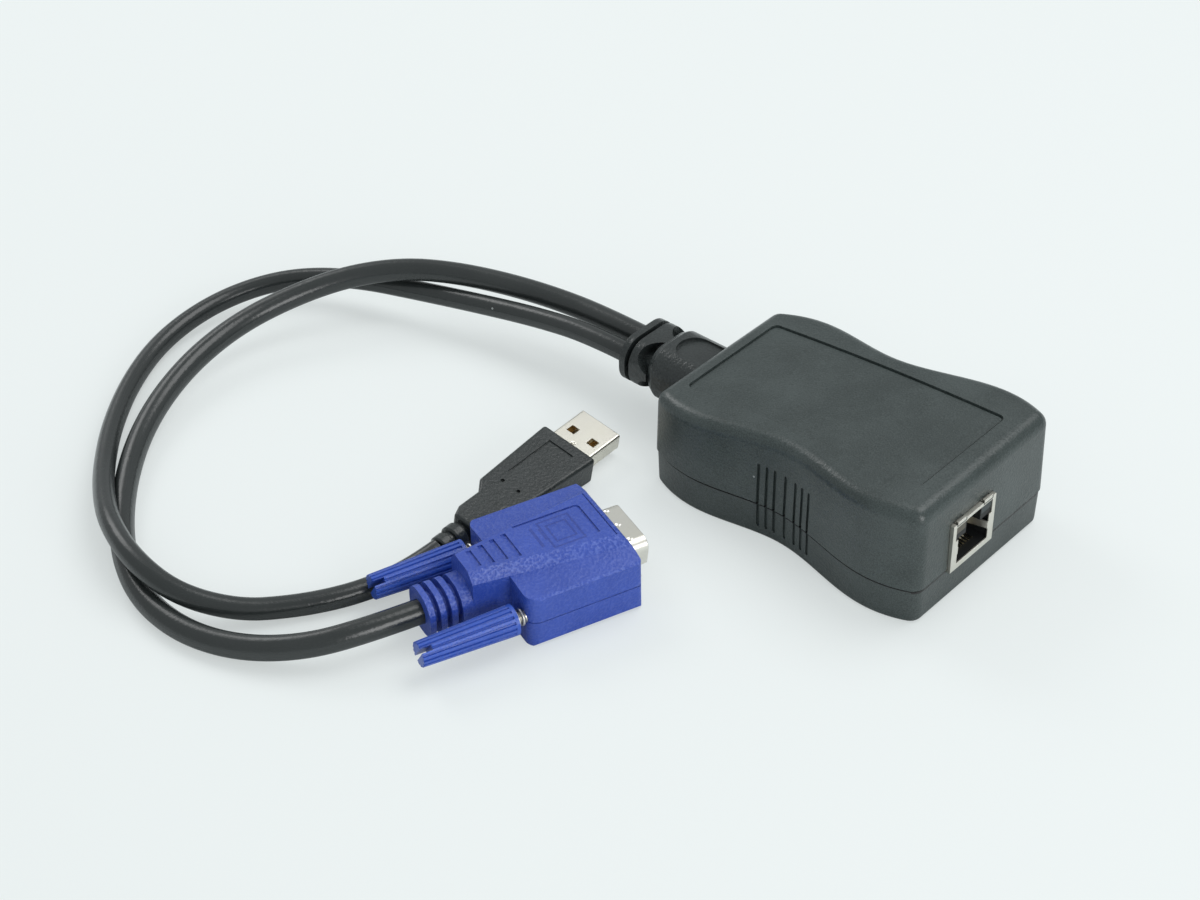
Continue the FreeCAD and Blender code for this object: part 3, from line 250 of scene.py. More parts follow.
jackscrewSetup = {"rear": -0.0193, "front": 0.0289, "shank": 0.00160, "neck": 0.00128, "neckFrom": -0.0023,
                  "rings": (-0.00175, -0.00065), "ringRadius": 0.0021, "ringHalf": 0.00036,
                  "threadLength": 0.0090, "thread": 0.00142, "threadDepth": 0.00034, "pitch": 0.000635,
                  "tipTaper": 0.0007, "tipSlope": 0.45, "threadFade": 0.6, "ringCrown": 0.0002, "columns": 48,
                  "rows": (12, 60, 12, 210), "step": 0.0001}


def turnJackscrew(name, body, hinge, setup):
    # Radius = profile along the screw - thread depth * |2 * fraction(length / pitch - angle / turn) - 1|.
    threadFrom = setup["front"] - setup["threadLength"]
    step, neckFrom = setup["step"], setup["neckFrom"]
    starts = (setup["rear"], neckFrom - 3 * step, 4 * step, threadFrom)
    ends = (neckFrom - 4 * step, 2 * step, threadFrom - step, setup["front"])
    along = np.concatenate([np.linspace(*span) for span in zip(starts, ends, setup["rows"])])
    radius = np.full(along.shape, setup["shank"])
    radius[(along > neckFrom) & (along < 0)] = setup["neck"]
    for ring in setup["rings"]:
        across = np.clip((along - ring) / setup["ringHalf"], -1, 1)
        crown = setup["ringRadius"] - setup["ringCrown"] * across ** 2
        radius = np.where(np.abs(along - ring) < setup["ringHalf"], crown, radius)
    radius[along >= threadFrom] = setup["thread"]
    taper = np.clip((along - setup["front"] + setup["tipTaper"]) / setup["tipTaper"], 0, 1)
    radius = radius - setup["tipSlope"] * setup["tipTaper"] * taper
    angle = np.linspace(0, 2 * np.pi, setup["columns"], endpoint=False)
    turn = along[:, None] / setup["pitch"] - angle[None, :] / (2 * np.pi)
    groove = np.abs(2 * (turn % 1) - 1) * setup["threadDepth"]
    fade = np.clip((along - threadFrom) / setup["pitch"], 0, 1) * (1 - setup["threadFade"] * taper)
    full = radius[:, None] - groove * fade[:, None]
    sideways = (full * np.cos(angle))[..., None] * plugAcross
    upwards = (full * np.sin(angle))[..., None] * plugUp
    points = hinge + along[:, None, None] * plugAlong + sideways + upwards
    return closedSurface(name + "Turned", points, body, name)


nearJackscrew = turnJackscrew("jackscrew_near", "near_screw", nearHinge, jackscrewSetup)
farJackscrew = turnJackscrew("jackscrew_far", "far_screw", farHinge, jackscrewSetup)
print("jackscrews turned")

caseScrewSetup = {"headRadius": 0.0025, "headHeight": 0.0017, "radius": 0.0013, "length": 0.0145,
                  "edge": 0.0004, "crossHalf": 0.00036, "crossReach": 0.00145, "crossDepth": 0.0011,
                  "pitch": 0.0009, "threadDepth": 0.00025, "columns": 72, "turns": (0.3, 1.1, 0.7, 0.1),
                  "faceRows": 44, "edgeRows": 6, "shankRows": 130, "centre": 0.00002, "collar": 0.0002,
                  "tip": (0.5, 0.1), "crossWall": 0.00012, "crossEnd": 0.0007, "threadFrom": 0.0005,
                  "threadTo": 0.0002}


def turnCaseScrew(number, low, setup):
    # The head's face sinks by a cross:
    # depth * clip(half width - narrow distance) * clip(reach - wide distance).
    head, edge, thin = setup["headRadius"], setup["edge"], setup["radius"]
    face = np.linspace(setup["centre"], head - edge, setup["faceRows"])
    bend = np.linspace(0, np.pi / 2, setup["edgeRows"])[1:]
    under = setup["headHeight"]
    shank = under + np.linspace(0.0, setup["length"], setup["shankRows"])
    tip = thin * np.array(setup["tip"])
    radius = np.concatenate([face, head - edge + edge * np.sin(bend), [head, thin + setup["collar"]],
                             thin + 0 * shank, tip])
    height = np.concatenate([0 * face, edge * (1 - np.cos(bend)), [under, under], shank,
                             under + setup["length"] + 0 * tip])
    angle = np.linspace(0, 2 * np.pi, setup["columns"], endpoint=False)
    turn = angle + setup["turns"][number]
    flat = radius[:, None] * np.stack([np.cos(turn), np.sin(turn)])[:, None, :]
    narrow = np.min(np.abs(flat), axis=0)
    wide = np.max(np.abs(flat), axis=0)
    sink = np.clip((setup["crossHalf"] - narrow) / setup["crossWall"], 0, 1)
    sink = sink * np.clip((setup["crossReach"] - wide) / setup["crossEnd"], 0, 1)
    sink[len(face):] = 0
    winding = height[:, None] / setup["pitch"] + angle / (2 * np.pi)
    groove = np.abs(2 * (winding % 1) - 1) * setup["threadDepth"]
    onShank = (height > under + setup["threadFrom"]) & (height < under + setup["length"] - setup["threadTo"])
    full = radius[:, None] - groove * onShank[:, None]
    up = height[:, None] + setup["crossDepth"] * sink
    points = np.stack([low[0] + full * np.cos(-angle), low[1] + full * np.sin(-angle), low[2] + up], axis=-1)
    return points[:, ::-1]


def turnCaseScrews(setup):
    lowest, highest = (np.array(corner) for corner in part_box("case_screws"))
    inset = setup["headRadius"]
    corners = [(x, y, lowest[2]) for x in (lowest[0] + inset, highest[0] - inset)
               for y in (lowest[1] + inset, highest[1] - inset)]
    return [closedSurface("caseScrew" + "ABCD"[number], turnCaseScrew(number, low, setup), "dongle",
                          "case_screws") for number, low in enumerate(corners)]


caseScrews = turnCaseScrews(caseScrewSetup)
print("case screws turned")

# More shader building blocks, for groups and materials alike


def spread(tree, value, low, high, toLow=0.0, toHigh=1.0):  # smooth step from low to high
    return place(tree, "MapRange", {"Value": value, "From Min": low, "From Max": high, "To Min": toLow,
                                    "To Max": toHigh}, interpolation_type="SMOOTHSTEP").outputs["Result"]


def noise(tree, position, scale, detail=2.0, roughness=0.5):
    return place(tree, "TexNoise", {"Vector": position, "Scale": scale, "Detail": detail,
                                    "Roughness": roughness}).outputs["Fac"]


def blendColour(tree, mask, first, second):
    return place(tree, "Mix", {0: mask, 6: first, 7: second}, data_type="RGBA").outputs[2]


def scaled(tree, size):  # positions per unit of a size in metres
    return calc(tree, "DIVIDE", 1.0, size)


def openGroup(name, inputs, outputs):
    tree = bpy.data.node_groups.new(name, "ShaderNodeTree")
    for socket, kind in inputs.items():
        tree.interface.new_socket(socket, in_out="INPUT", socket_type="NodeSocket" + kind)
    for socket in outputs:
        tree.interface.new_socket(socket, in_out="OUTPUT", socket_type="NodeSocketFloat")
    return tree, tree.nodes.new("NodeGroupInput").outputs, tree.nodes.new("NodeGroupOutput").inputs


def buildMouldGrain():
    # Height: two noises a factor of 2.3 apart.
    # Speckle and tone: the grain's own and the slow unevenness, about -1 to 1.
    tree, given, out = openGroup("mouldGrain", {"Position": "Vector", "Grain": "Float", "Patch": "Float"},
                                 ("Height", "Speckle", "Tone"))
    fine = noise(tree, given["Position"], scaled(tree, given["Grain"]), 1.0)
    finer = noise(tree, given["Position"], scaled(tree, calc(tree, "DIVIDE", given["Grain"], 2.3)), 1.0)
    feed(tree, out["Height"], calc(tree, "MULTIPLY_ADD", finer, 0.5, fine))
    feed(tree, out["Speckle"], calc(tree, "MULTIPLY_ADD", finer, 5.0, -2.5))
    slow = noise(tree, given["Position"], scaled(tree, given["Patch"]), 3.0, 0.6)
    feed(tree, out["Tone"], calc(tree, "MULTIPLY_ADD", slow, 4.0, -2.0))
    return tree


def buildSparkGrain():
    # Spark-eroded mould texture: rounded pits from cells, broken up by noise; Sparkle marks the pits' rims
    # for a painted glint.
    tree, given, out = openGroup("sparkGrain", {"Position": "Vector", "Grain": "Float"},
                                 ("Height", "Sparkle"))
    scale = scaled(tree, given["Grain"])
    cells = place(tree, "TexVoronoi", {"Vector": given["Position"], "Scale": scale, "Smoothness": 0.4},
                  feature="SMOOTH_F1").outputs["Distance"]
    broken = noise(tree, given["Position"], calc(tree, "MULTIPLY", scale, 1.7), 2.0)
    height = calc(tree, "MULTIPLY_ADD", broken, 0.9, cells)
    feed(tree, out["Height"], height)
    feed(tree, out["Sparkle"], spread(tree, height, 0.85, 1.25))
    return tree


def buildDust():
    # Specks: cells of the given spacing of which a share, drawn by the cell's own colour, holds one speck.
    tree, given, out = openGroup("dustAndSparkle", {"Position": "Vector", "Spacing": "Float", "Speck": "Float",
                                          "Share": "Float"}, ("Mask",))
    cells = place(tree, "TexVoronoi", {"Vector": given["Position"], "Scale": scaled(tree, given["Spacing"]),
                                       "Randomness": 1.0})
    colour = place(tree, "SeparateColor", {"Color": cells.outputs["Color"]}).outputs
    chosen = calc(tree, "LESS_THAN", colour["Red"], given["Share"])
    reach = calc(tree, "DIVIDE", calc(tree, "MULTIPLY", given["Speck"], colour["Green"]), given["Spacing"])
    inside = calc(tree, "LESS_THAN", cells.outputs["Distance"], reach)
    feed(tree, out["Mask"], calc(tree, "MULTIPLY", chosen, inside))
    return tree


def buildHandling():
    # Rubbed and fingered patches: a quick noise cut by a slow one, 0 to 1.
    tree, given, out = openGroup("handling", {"Position": "Vector", "Patch": "Float"}, ("Mask",))
    slow = noise(tree, given["Position"], scaled(tree, given["Patch"]), 3.0, 0.65)
    small = scaled(tree, calc(tree, "MULTIPLY", given["Patch"], 0.23))
    quick = noise(tree, given["Position"], small, 4.0, 0.6)
    mask = calc(tree, "MULTIPLY", spread(tree, slow, 0.42, 0.66), spread(tree, quick, 0.3, 0.75))
    feed(tree, out["Mask"], mask)
    return tree


def buildDrawnMetal():
    # Fine lines drawn along one direction: noise on positions squeezed along it, and cloudy plating.
    tree, given, out = openGroup("drawnMetal", {"Position": "Vector", "Squeeze": "Vector", "Line": "Float",
                                                "Cloud": "Float"}, ("Height", "Tone", "Cloudy"))
    squeezed = place(tree, "VectorMath", {0: given["Position"], 1: given["Squeeze"]},
                     operation="MULTIPLY").outputs["Vector"]
    lines = noise(tree, squeezed, scaled(tree, given["Line"]), 3.0, 0.6)
    cloud = noise(tree, given["Position"], scaled(tree, given["Cloud"]), 3.0, 0.6)
    feed(tree, out["Height"], lines)
    feed(tree, out["Tone"], calc(tree, "MULTIPLY_ADD", lines, 2.0, -1.0))
    feed(tree, out["Cloudy"], spread(tree, cloud, 0.35, 0.70))
    return tree


def buildFrameStroke():
    # Outline of a rectangle: | max(|x - cx| - hx, |y - cy| - hy) | under half the stroke's width.
    tree, given, out = openGroup("frameStroke", {"Position": "Vector", "Centre X": "Float",
                                                 "Centre Y": "Float", "Half X": "Float", "Half Y": "Float",
                                                 "Stroke": "Float"}, ("Mask",))
    axes = place(tree, "SeparateXYZ", {0: given["Position"]}).outputs
    past = []
    for axis in "XY":
        offset = calc(tree, "ABSOLUTE", calc(tree, "SUBTRACT", axes[axis], given["Centre " + axis]))
        past.append(calc(tree, "SUBTRACT", offset, given["Half " + axis]))
    edge = calc(tree, "ABSOLUTE", calc(tree, "MAXIMUM", *past))
    half = calc(tree, "DIVIDE", given["Stroke"], 2.0)
    feed(tree, out["Mask"], calc(tree, "LESS_THAN", edge, half))
    return tree


groups = {"mouldGrain": buildMouldGrain(), "sparkGrain": buildSparkGrain(), "dustAndSparkle": buildDust(),
          "handling": buildHandling(), "drawnMetal": buildDrawnMetal(), "frameStroke": buildFrameStroke()}
print("shader groups built")


def effect(tree, name, values):
    node = tree.nodes.new("ShaderNodeGroup")
    node.node_tree = groups[name]
    for socket, value in values.items():
        feed(tree, node.inputs[socket], value)
    return node.outputs


def openMaterial(name, metallic=0.0, ior=1.5, coat=0.0, coatRoughness=0.1):
    material = bpy.data.materials.new(name)
    material.use_nodes = True
    tree = material.node_tree
    shader = tree.nodes["Principled BSDF"]
    shader.inputs["Metallic"].default_value = metallic
    shader.inputs["IOR"].default_value = ior
    shader.inputs["Coat Weight"].default_value = coat
    shader.inputs["Coat Roughness"].default_value = coatRoughness
    position = tree.nodes.new("ShaderNodeTexCoord").outputs["Object"]
    return material, tree, shader, position


def bump(tree, shader, height, depth, edge=0.0):
    # depth is how far a height of 1 stands out, in metres; edge softens sharp corners for the light
    values = {"Height": height, "Distance": depth, "Strength": 1.0}
    if edge:
        values["Normal"] = place(tree, "Bevel", {"Radius": edge}, samples=6).outputs["Normal"]
    feed(tree, shader.inputs["Normal"], place(tree, "Bump", values).outputs["Normal"])


flankSetup = {"low": 0.35, "high": 0.90, "lowBlend": 0.15, "highBlend": 0.08}


def flankMask(tree, setup):
    # 1 on faces whose slope lies between low and high, where 0 is upright and 1 is level, and 0 elsewhere.
    normal = tree.nodes.new("ShaderNodeNewGeometry").outputs["Normal"]
    level = place(tree, "SeparateXYZ", {0: normal}).outputs["Z"]
    rise = spread(tree, level, setup["low"] - setup["lowBlend"], setup["low"])
    fall = spread(tree, level, setup["high"], setup["high"] + setup["highBlend"], 1.0, 0.0)
    return calc(tree, "MULTIPLY", rise, fall)


def shade(tree, tone, setup):  # the base colour pulled up and down by a tone of -1 to 1
    mask = calc(tree, "MULTIPLY_ADD", tone, 0.5, 0.5)
    return blendColour(tree, mask, (*setup["dark"], 1), (*setup["light"], 1))


def seamShadeMask(tree, position, seamShade):
    # Painted shade: 1 between two heights, under the joint where the shells meet, marking a near-black strip
    # that deepens the reveal's shadow; the strip starts lower at the jack's end face.
    axes = place(tree, "SeparateXYZ", {0: position}).outputs
    atJack = calc(tree, "GREATER_THAN", axes["X"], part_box("lower_shell")[1][0] - seamShade["jackReach"])
    height = calc(tree, "MULTIPLY_ADD", atJack, seamShade["jackLift"], axes["Z"])
    return calc(tree, "MULTIPLY", spread(tree, height, seamShade["low"], seamShade["low"] + seamShade["soft"]),
                calc(tree, "LESS_THAN", axes["Z"], seamShade["high"]))


def mouldedPlastic(name, setup):
    # Colour = shade of slow tone and speckle, under dust, plus painted seam shade. Roughness = base + tone -
    # rubbed patches - flanks.
    material, tree, shader, position = openMaterial(name, ior=setup.get("ior", 1.5))
    grain = effect(tree, "mouldGrain", {"Position": position, "Grain": setup["grain"],
                                        "Patch": setup["patch"]})
    worn = effect(tree, "handling", {"Position": position, "Patch": setup["handled"]})["Mask"]
    specks = effect(tree, "dustAndSparkle", {"Position": position, "Spacing": setup["dustSpacing"],
                                   "Speck": setup["speck"], "Share": setup["dustShare"]})["Mask"]
    tone = calc(tree, "MULTIPLY_ADD", grain["Speckle"], setup["speckle"], grain["Tone"])
    colour = blendColour(tree, calc(tree, "MULTIPLY", specks, setup["dustStrength"]),
                         shade(tree, tone, setup), (*setup["dustAndSparkle"], 1))
    # Painted shade: darken the colour in the strip below the shells' joint, where the reveal's shadow falls.
    if "seamShade" in setup:
        seamShade = setup["seamShade"]
        colour = blendColour(tree, seamShadeMask(tree, position, seamShade), colour, (*seamShade["colour"], 1))
    feed(tree, shader.inputs["Base Color"], colour)
    rough = calc(tree, "MULTIPLY_ADD", grain["Tone"], setup["roughnessSpread"], setup["roughness"])
    rough = calc(tree, "MULTIPLY_ADD", worn, -setup["polish"], rough)
    rough = calc(tree, "MULTIPLY_ADD", flankMask(tree, flankSetup), -setup["edgePolish"], rough)
    feed(tree, shader.inputs["Roughness"], calc(tree, "MULTIPLY_ADD", specks, setup["dustRoughness"], rough))
    bump(tree, shader, grain["Height"], setup["grainDepth"], edge=setup.get("edge", 0.0))
    return material


casePlasticSetup = {"dark": (0.020, 0.029, 0.028), "light": (0.048, 0.062, 0.061), "grain": 0.00065,
                    "grainDepth": 0.00008, "patch": 0.018, "speckle": 1.1, "roughness": 0.39,
                    "edgePolish": 0.06, "roughnessSpread": 0.03, "handled": 0.022, "polish": 0.05,
                    "dustAndSparkle": (0.42, 0.45, 0.45), "dustSpacing": 0.0046, "speck": 0.00032, "dustShare": 0.16,
                    "dustStrength": 0.6, "dustRoughness": 0.3, "edge": 0.00015}
# The base shell's seam strip holds painted shade: a near-black band under the shells' joint.
basePlasticSetup = {**casePlasticSetup, "dark": (0.020, 0.028, 0.027), "light": (0.048, 0.061, 0.060),
                    "roughness": 0.41, "seamShade": {"low": 0.00900, "high": 0.00972, "jackLift": 0.00040,
                                                "jackReach": 0.0015, "soft": 0.00015,
                                                "colour": (0.004, 0.004, 0.004)}}
bootRubberSetup = {**casePlasticSetup, "dark": (0.014, 0.018, 0.018), "light": (0.031, 0.037, 0.037),
                   "grain": 0.0009, "grainDepth": 0.00010, "roughness": 0.34, "polish": 0.07}
cableJacketSetup = {**casePlasticSetup, "dark": (0.019, 0.023, 0.023), "light": (0.027, 0.031, 0.031),
                    "grain": 0.0011, "grainDepth": 0.00004, "patch": 0.03, "speckle": 0.3, "roughness": 0.30,
                    "handled": 0.05, "polish": 0.06, "dustShare": 0.10, "edge": 0.0}
gripPlasticSetup = {**casePlasticSetup, "dark": (0.010, 0.014, 0.014), "light": (0.028, 0.034, 0.034),
                    "grain": 0.0008, "grainDepth": 0.00012, "roughness": 0.38, "patch": 0.012}
jackPlasticSetup = {**casePlasticSetup, "dark": (0.009, 0.010, 0.010), "light": (0.014, 0.015, 0.015),
                    "grain": 0.0005, "grainDepth": 0.00001, "roughness": 0.50, "dustShare": 0.05, "edge": 0.0,
                    "ior": 1.33}
tongueSetup = {**jackPlasticSetup, "dark": (0.50, 0.27, 0.07), "light": (0.66, 0.38, 0.11), "patch": 0.003,
               "roughness": 0.5}
insertSetup = {**jackPlasticSetup, "dark": (0.018, 0.045, 0.30), "light": (0.024, 0.056, 0.36),
               "patch": 0.005, "roughness": 0.45}

# A plain screen and keyboard: each outline's centre and half size, along and across the plug
# The symbol's lines are engraved, and their darker colour is painted shade in the grooves.
symbolSetup = {"stroke": 0.00042, "depth": 0.00030, "above": 0.0090,
               "frames": ((0.0156, -0.0009, 0.0038, 0.0046), (0.0156, -0.0009, 0.0024, 0.0029)),
               "strokes": ((0.0097, -0.0007, 0.00012, 0.0032), (0.0115, -0.0002, 0.00012, 0.0018)),
               "grooveShade": (0.010, 0.028, 0.22), "grooveShadeStrength": 0.55}

# Here the pale blue is the colour of the painted sparkle highlight on the pits' rims and flanks.
bluePlasticSetup = {"dark": (0.019, 0.055, 0.330), "light": (0.029, 0.073, 0.400), "dustAndSparkle": (0.22, 0.30, 0.72),
                    "grain": 0.00070, "grainDepth": 0.00011, "patch": 0.010, "roughness": 0.40,
                    "sparkle": 0.08, "flankSparkle": 0.17, "fineGrain": 0.00030, "fineShare": 0.15,
                    "roughnessSpread": 0.03, "edge": 0.00020}
knobPlasticSetup = {**bluePlasticSetup, "dark": (0.018, 0.066, 0.380), "light": (0.030, 0.094, 0.480),
                    "grain": 0.0005, "grainDepth": 0.00005, "roughness": 0.32, "sparkle": 0.04,
                    "flankSparkle": 0.04, "edge": 0.00015}


def plugPosition(tree, position):  # along, across and up from the rear of the plug's wide part
    turn = math.atan2(plugAlong[1], plugAlong[0])
    return place(tree, "Mapping", {"Vector": position, "Location": tuple(plugOrigin),
                                   "Rotation": (0, 0, turn)}, vector_type="TEXTURE").outputs["Vector"]


def bluePlastic(name, setup, symbol=None):
    # Colour = shade of the slow tone, with a painted sparkle highlight on the pits' rims, stronger on flanks,
    # and painted shade in the symbol's grooves.
    material, tree, shader, position = openMaterial(name)
    grain = effect(tree, "sparkGrain", {"Position": position, "Grain": setup["grain"]})
    slow = effect(tree, "mouldGrain", {"Position": position, "Grain": setup["fineGrain"],
                                       "Patch": setup["patch"]})
    # Painted highlight: the rims are tinted pale, more so on flanks where grazing light falls.
    shine = calc(tree, "MULTIPLY_ADD", flankMask(tree, flankSetup), setup["flankSparkle"], setup["sparkle"])
    colour = blendColour(tree, calc(tree, "MULTIPLY", grain["Sparkle"], shine),
                         shade(tree, slow["Tone"], setup), (*setup["dustAndSparkle"], 1))
    height = calc(tree, "MULTIPLY_ADD", slow["Height"], setup["fineShare"], grain["Height"])
    if symbol:
        inPlug = plugPosition(tree, position)
        marks = []
        for x, y, halfX, halfY in symbol["frames"] + symbol["strokes"]:
            marks.append(effect(tree, "frameStroke", {"Position": inPlug, "Centre X": x, "Centre Y": y,
                                                      "Half X": halfX, "Half Y": halfY,
                                                      "Stroke": symbol["stroke"]})["Mask"])
        lines = marks[0]
        for mark in marks[1:]:
            lines = calc(tree, "MAXIMUM", lines, mark)
        over = place(tree, "SeparateXYZ", {0: inPlug}).outputs["Z"]
        lines = calc(tree, "MULTIPLY", lines, calc(tree, "GREATER_THAN", over, symbol["above"]))
        # Painted shade: the engraved lines are darkened where shade falls in them.
        colour = blendColour(tree, calc(tree, "MULTIPLY", lines, symbol["grooveShadeStrength"]), colour,
                             (*symbol["grooveShade"], 1))
        height = calc(tree, "MULTIPLY_ADD", lines, -symbol["depth"] / setup["grainDepth"], height)
    feed(tree, shader.inputs["Base Color"], colour)
    rough = calc(tree, "MULTIPLY_ADD", slow["Tone"], setup["roughnessSpread"], setup["roughness"])
    feed(tree, shader.inputs["Roughness"], rough)
    bump(tree, shader, height, setup["grainDepth"], edge=setup["edge"])
    return material


def platedMetal(name, setup):
    # Colour = light plating clouded by dark, with a share of drawn lines. Roughness follows both.
    material, tree, shader, position = openMaterial(name, metallic=1.0)
    drawn = effect(tree, "drawnMetal", {"Position": position, "Squeeze": setup["squeeze"],
                                        "Line": setup["line"], "Cloud": setup["cloud"]})
    clouded = blendColour(tree, drawn["Cloudy"], (*setup["light"], 1), (*setup["dark"], 1))
    lines = calc(tree, "MULTIPLY_ADD", drawn["Tone"], setup["lineShare"], setup["lineShare"])
    colour = blendColour(tree, lines, clouded, (*setup["lineColour"], 1))
    feed(tree, shader.inputs["Base Color"], colour)
    rough = calc(tree, "MULTIPLY_ADD", drawn["Cloudy"], setup["roughnessSpread"], setup["roughness"])
    rough = calc(tree, "MULTIPLY_ADD", drawn["Tone"], setup["lineRoughness"], rough)
    feed(tree, shader.inputs["Roughness"], rough)
    height = drawn["Height"]
    for spot, radius, depth in setup.get("dents", ()):  # round dents pressed into the sheet
        away = place(tree, "VectorMath", {0: position, 1: spot}, operation="DISTANCE").outputs["Value"]
        height = calc(tree, "MULTIPLY_ADD", spread(tree, away, 0.0, radius), depth / setup["lineDepth"],
                      height)
    bump(tree, shader, height, setup["lineDepth"], edge=setup.get("edge", 0.0))
    return material


def jackShield(name, setup):
    # Tin with painted shade in a dark slit round each spring tab: the outline of a rectangle beside the
    # jack's middle.
    material = platedMetal(name, setup)
    tree = material.node_tree
    shader = tree.nodes["Principled BSDF"]
    plain = shader.inputs["Base Color"].links[0].from_socket
    axes = place(tree, "SeparateXYZ", {0: tree.nodes.new("ShaderNodeTexCoord").outputs["Object"]}).outputs
    flat = place(tree, "CombineXYZ", {"X": axes["Y"], "Y": axes["Z"]}).outputs["Vector"]
    lowest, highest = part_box("network_jack_shield")
    middle = (lowest[1] + highest[1]) / 2
    for side in (-1, 1):
        slitShade = effect(tree, "frameStroke", {"Position": flat, "Centre X": middle + side * setup["tabOffset"],
                                           "Centre Y": highest[2] - setup["tabDrop"],
                                           "Half X": setup["tabHalf"], "Half Y": setup["tabHalfHeight"],
                                           "Stroke": setup["tabGap"]})["Mask"]
        # Painted shade: the slit round the tab is only painted dark, where shade would show through it.
        plain = blendColour(tree, slitShade, plain, (*setup["slitShadeColour"], 1))
    feed(tree, shader.inputs["Base Color"], plain)
    return material


nickelSetup = {"light": (0.84, 0.82, 0.76), "dark": (0.76, 0.74, 0.67), "lineColour": (0.62, 0.59, 0.51),
               "squeeze": (1.0, 0.12, 1.0), "line": 0.0012, "lineDepth": 0.000001, "cloud": 0.009,
               "roughness": 0.30, "roughnessSpread": 0.05, "lineShare": 0.15, "lineRoughness": 0.04,
               "edge": 0.0002}
usbPort = next(mount for mount in frame["record"]["mounts"] if mount["name"] == "usb_plug")
usbUp = np.array([0.1821, 0.0076, 0.9833])  # the plug leans a little towards the near side
usbDentSetup = {"back": 0.01035, "up": 0.00225, "radius": 0.0007, "depth": 0.00025}
usbMouth, usbAlong = np.array(usbPort["pos_m"]), np.array(usbPort["axis"])
usbDent = usbMouth - usbDentSetup["back"] * usbAlong + usbDentSetup["up"] * usbUp
usbShellSetup = {**nickelSetup, "light": (0.80, 0.775, 0.70), "dark": (0.72, 0.70, 0.62),
                 "dents": ((tuple(usbDent), usbDentSetup["radius"], usbDentSetup["depth"]),)}
tinSetup = {**nickelSetup, "light": (0.80, 0.775, 0.71), "dark": (0.72, 0.70, 0.63),
            "squeeze": (1.0, 1.0, 0.2), "roughness": 0.30, "tabOffset": 0.005, "tabHalf": 0.0017,
            "tabHalfHeight": 0.0006, "tabDrop": 0.0004, "tabGap": 0.0003, "slitShadeColour": (0.03, 0.03, 0.03),
            "edge": 0.0001}
screwMetalSetup = {**nickelSetup, "light": (0.74, 0.72, 0.66), "dark": (0.52, 0.50, 0.45), "line": 0.0004,
                   "squeeze": (1.0, 1.0, 1.0), "edge": 0.0}
screwZincSetup = {**screwMetalSetup, "light": (0.50, 0.50, 0.49), "dark": (0.30, 0.30, 0.29),
                  "roughness": 0.38}
goldSetup = {**nickelSetup, "light": (0.99, 0.91, 0.74), "dark": (0.92, 0.80, 0.56),
             "lineColour": (0.78, 0.64, 0.38), "line": 0.0005, "cloud": 0.002, "roughness": 0.20, "edge": 0.0}
canSetup = {**nickelSetup, "light": (0.68, 0.68, 0.69), "dark": (0.54, 0.54, 0.55),
            "lineColour": (0.45, 0.45, 0.45), "squeeze": (0.2, 1.0, 1.0), "edge": 0.0}

lightPipeSetup = {"near": (0.075, 0.066, 0.042), "nearDeep": (0.04, 0.034, 0.022),
                  "far": (0.010, 0.022, 0.025), "farDeep": (0.004, 0.008, 0.009), "grain": 0.0008,
                  "clouding": (0.35, 0.65), "roughness": 0.34, "roughnessSpread": 0.1, "depth": 0.00001}


def lightPipe(name, setup):
    # The pipe on one side of the jack's middle is tan and the other is dark; both cloud into a deeper tone.
    material, tree, shader, position = openMaterial(name)
    lowest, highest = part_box("network_jack_lights")
    side = calc(tree, "GREATER_THAN", place(tree, "SeparateXYZ", {0: position}).outputs["Y"],
                (lowest[1] + highest[1]) / 2)
    depth = spread(tree, noise(tree, position, scaled(tree, setup["grain"]), 3.0), *setup["clouding"])
    near = blendColour(tree, depth, (*setup["nearDeep"], 1), (*setup["near"], 1))
    far = blendColour(tree, depth, (*setup["farDeep"], 1), (*setup["far"], 1))
    feed(tree, shader.inputs["Base Color"], blendColour(tree, side, near, far))
    rough = calc(tree, "MULTIPLY_ADD", depth, setup["roughnessSpread"], setup["roughness"])
    feed(tree, shader.inputs["Roughness"], rough)
    bump(tree, shader, depth, setup["depth"])
    return material


boardSetup = {"mask": (0.010, 0.075, 0.030), "trace": (0.020, 0.14, 0.055), "via": (0.75, 0.60, 0.32),
              "tracePitch": 0.0016, "traceShare": 0.32, "viaSpacing": 0.0034, "viaRadius": 0.0006,
              "viaShare": 0.4, "roughness": 0.28, "traceShine": 0.05, "depth": 0.00002, "coat": 0.4,
              "coatRoughness": 0.12}


def boardFinish(name, setup):
    # Traces are stripes of the distance to cells measured along the axes; vias are dots in a share of cells.
    material, tree, shader, position = openMaterial(name, coat=setup["coat"],
                                                    coatRoughness=setup["coatRoughness"])
    cells = place(tree, "TexVoronoi", {"Vector": position, "Scale": 1 / setup["tracePitch"]}, feature="F2",
                  distance="MANHATTAN").outputs["Distance"]
    stripes = calc(tree, "FRACT", calc(tree, "MULTIPLY", cells, 2.0))
    traces = calc(tree, "LESS_THAN", stripes, setup["traceShare"])
    vias = effect(tree, "dustAndSparkle", {"Position": position, "Spacing": setup["viaSpacing"],
                                 "Speck": setup["viaRadius"], "Share": setup["viaShare"]})["Mask"]
    colour = blendColour(tree, traces, (*setup["mask"], 1), (*setup["trace"], 1))
    feed(tree, shader.inputs["Base Color"], blendColour(tree, vias, colour, (*setup["via"], 1)))
    feed(tree, shader.inputs["Metallic"], vias)
    rough = calc(tree, "MULTIPLY_ADD", traces, -setup["traceShine"], setup["roughness"])
    feed(tree, shader.inputs["Roughness"], rough)
    bump(tree, shader, calc(tree, "ADD", traces, vias), setup["depth"])
    return material


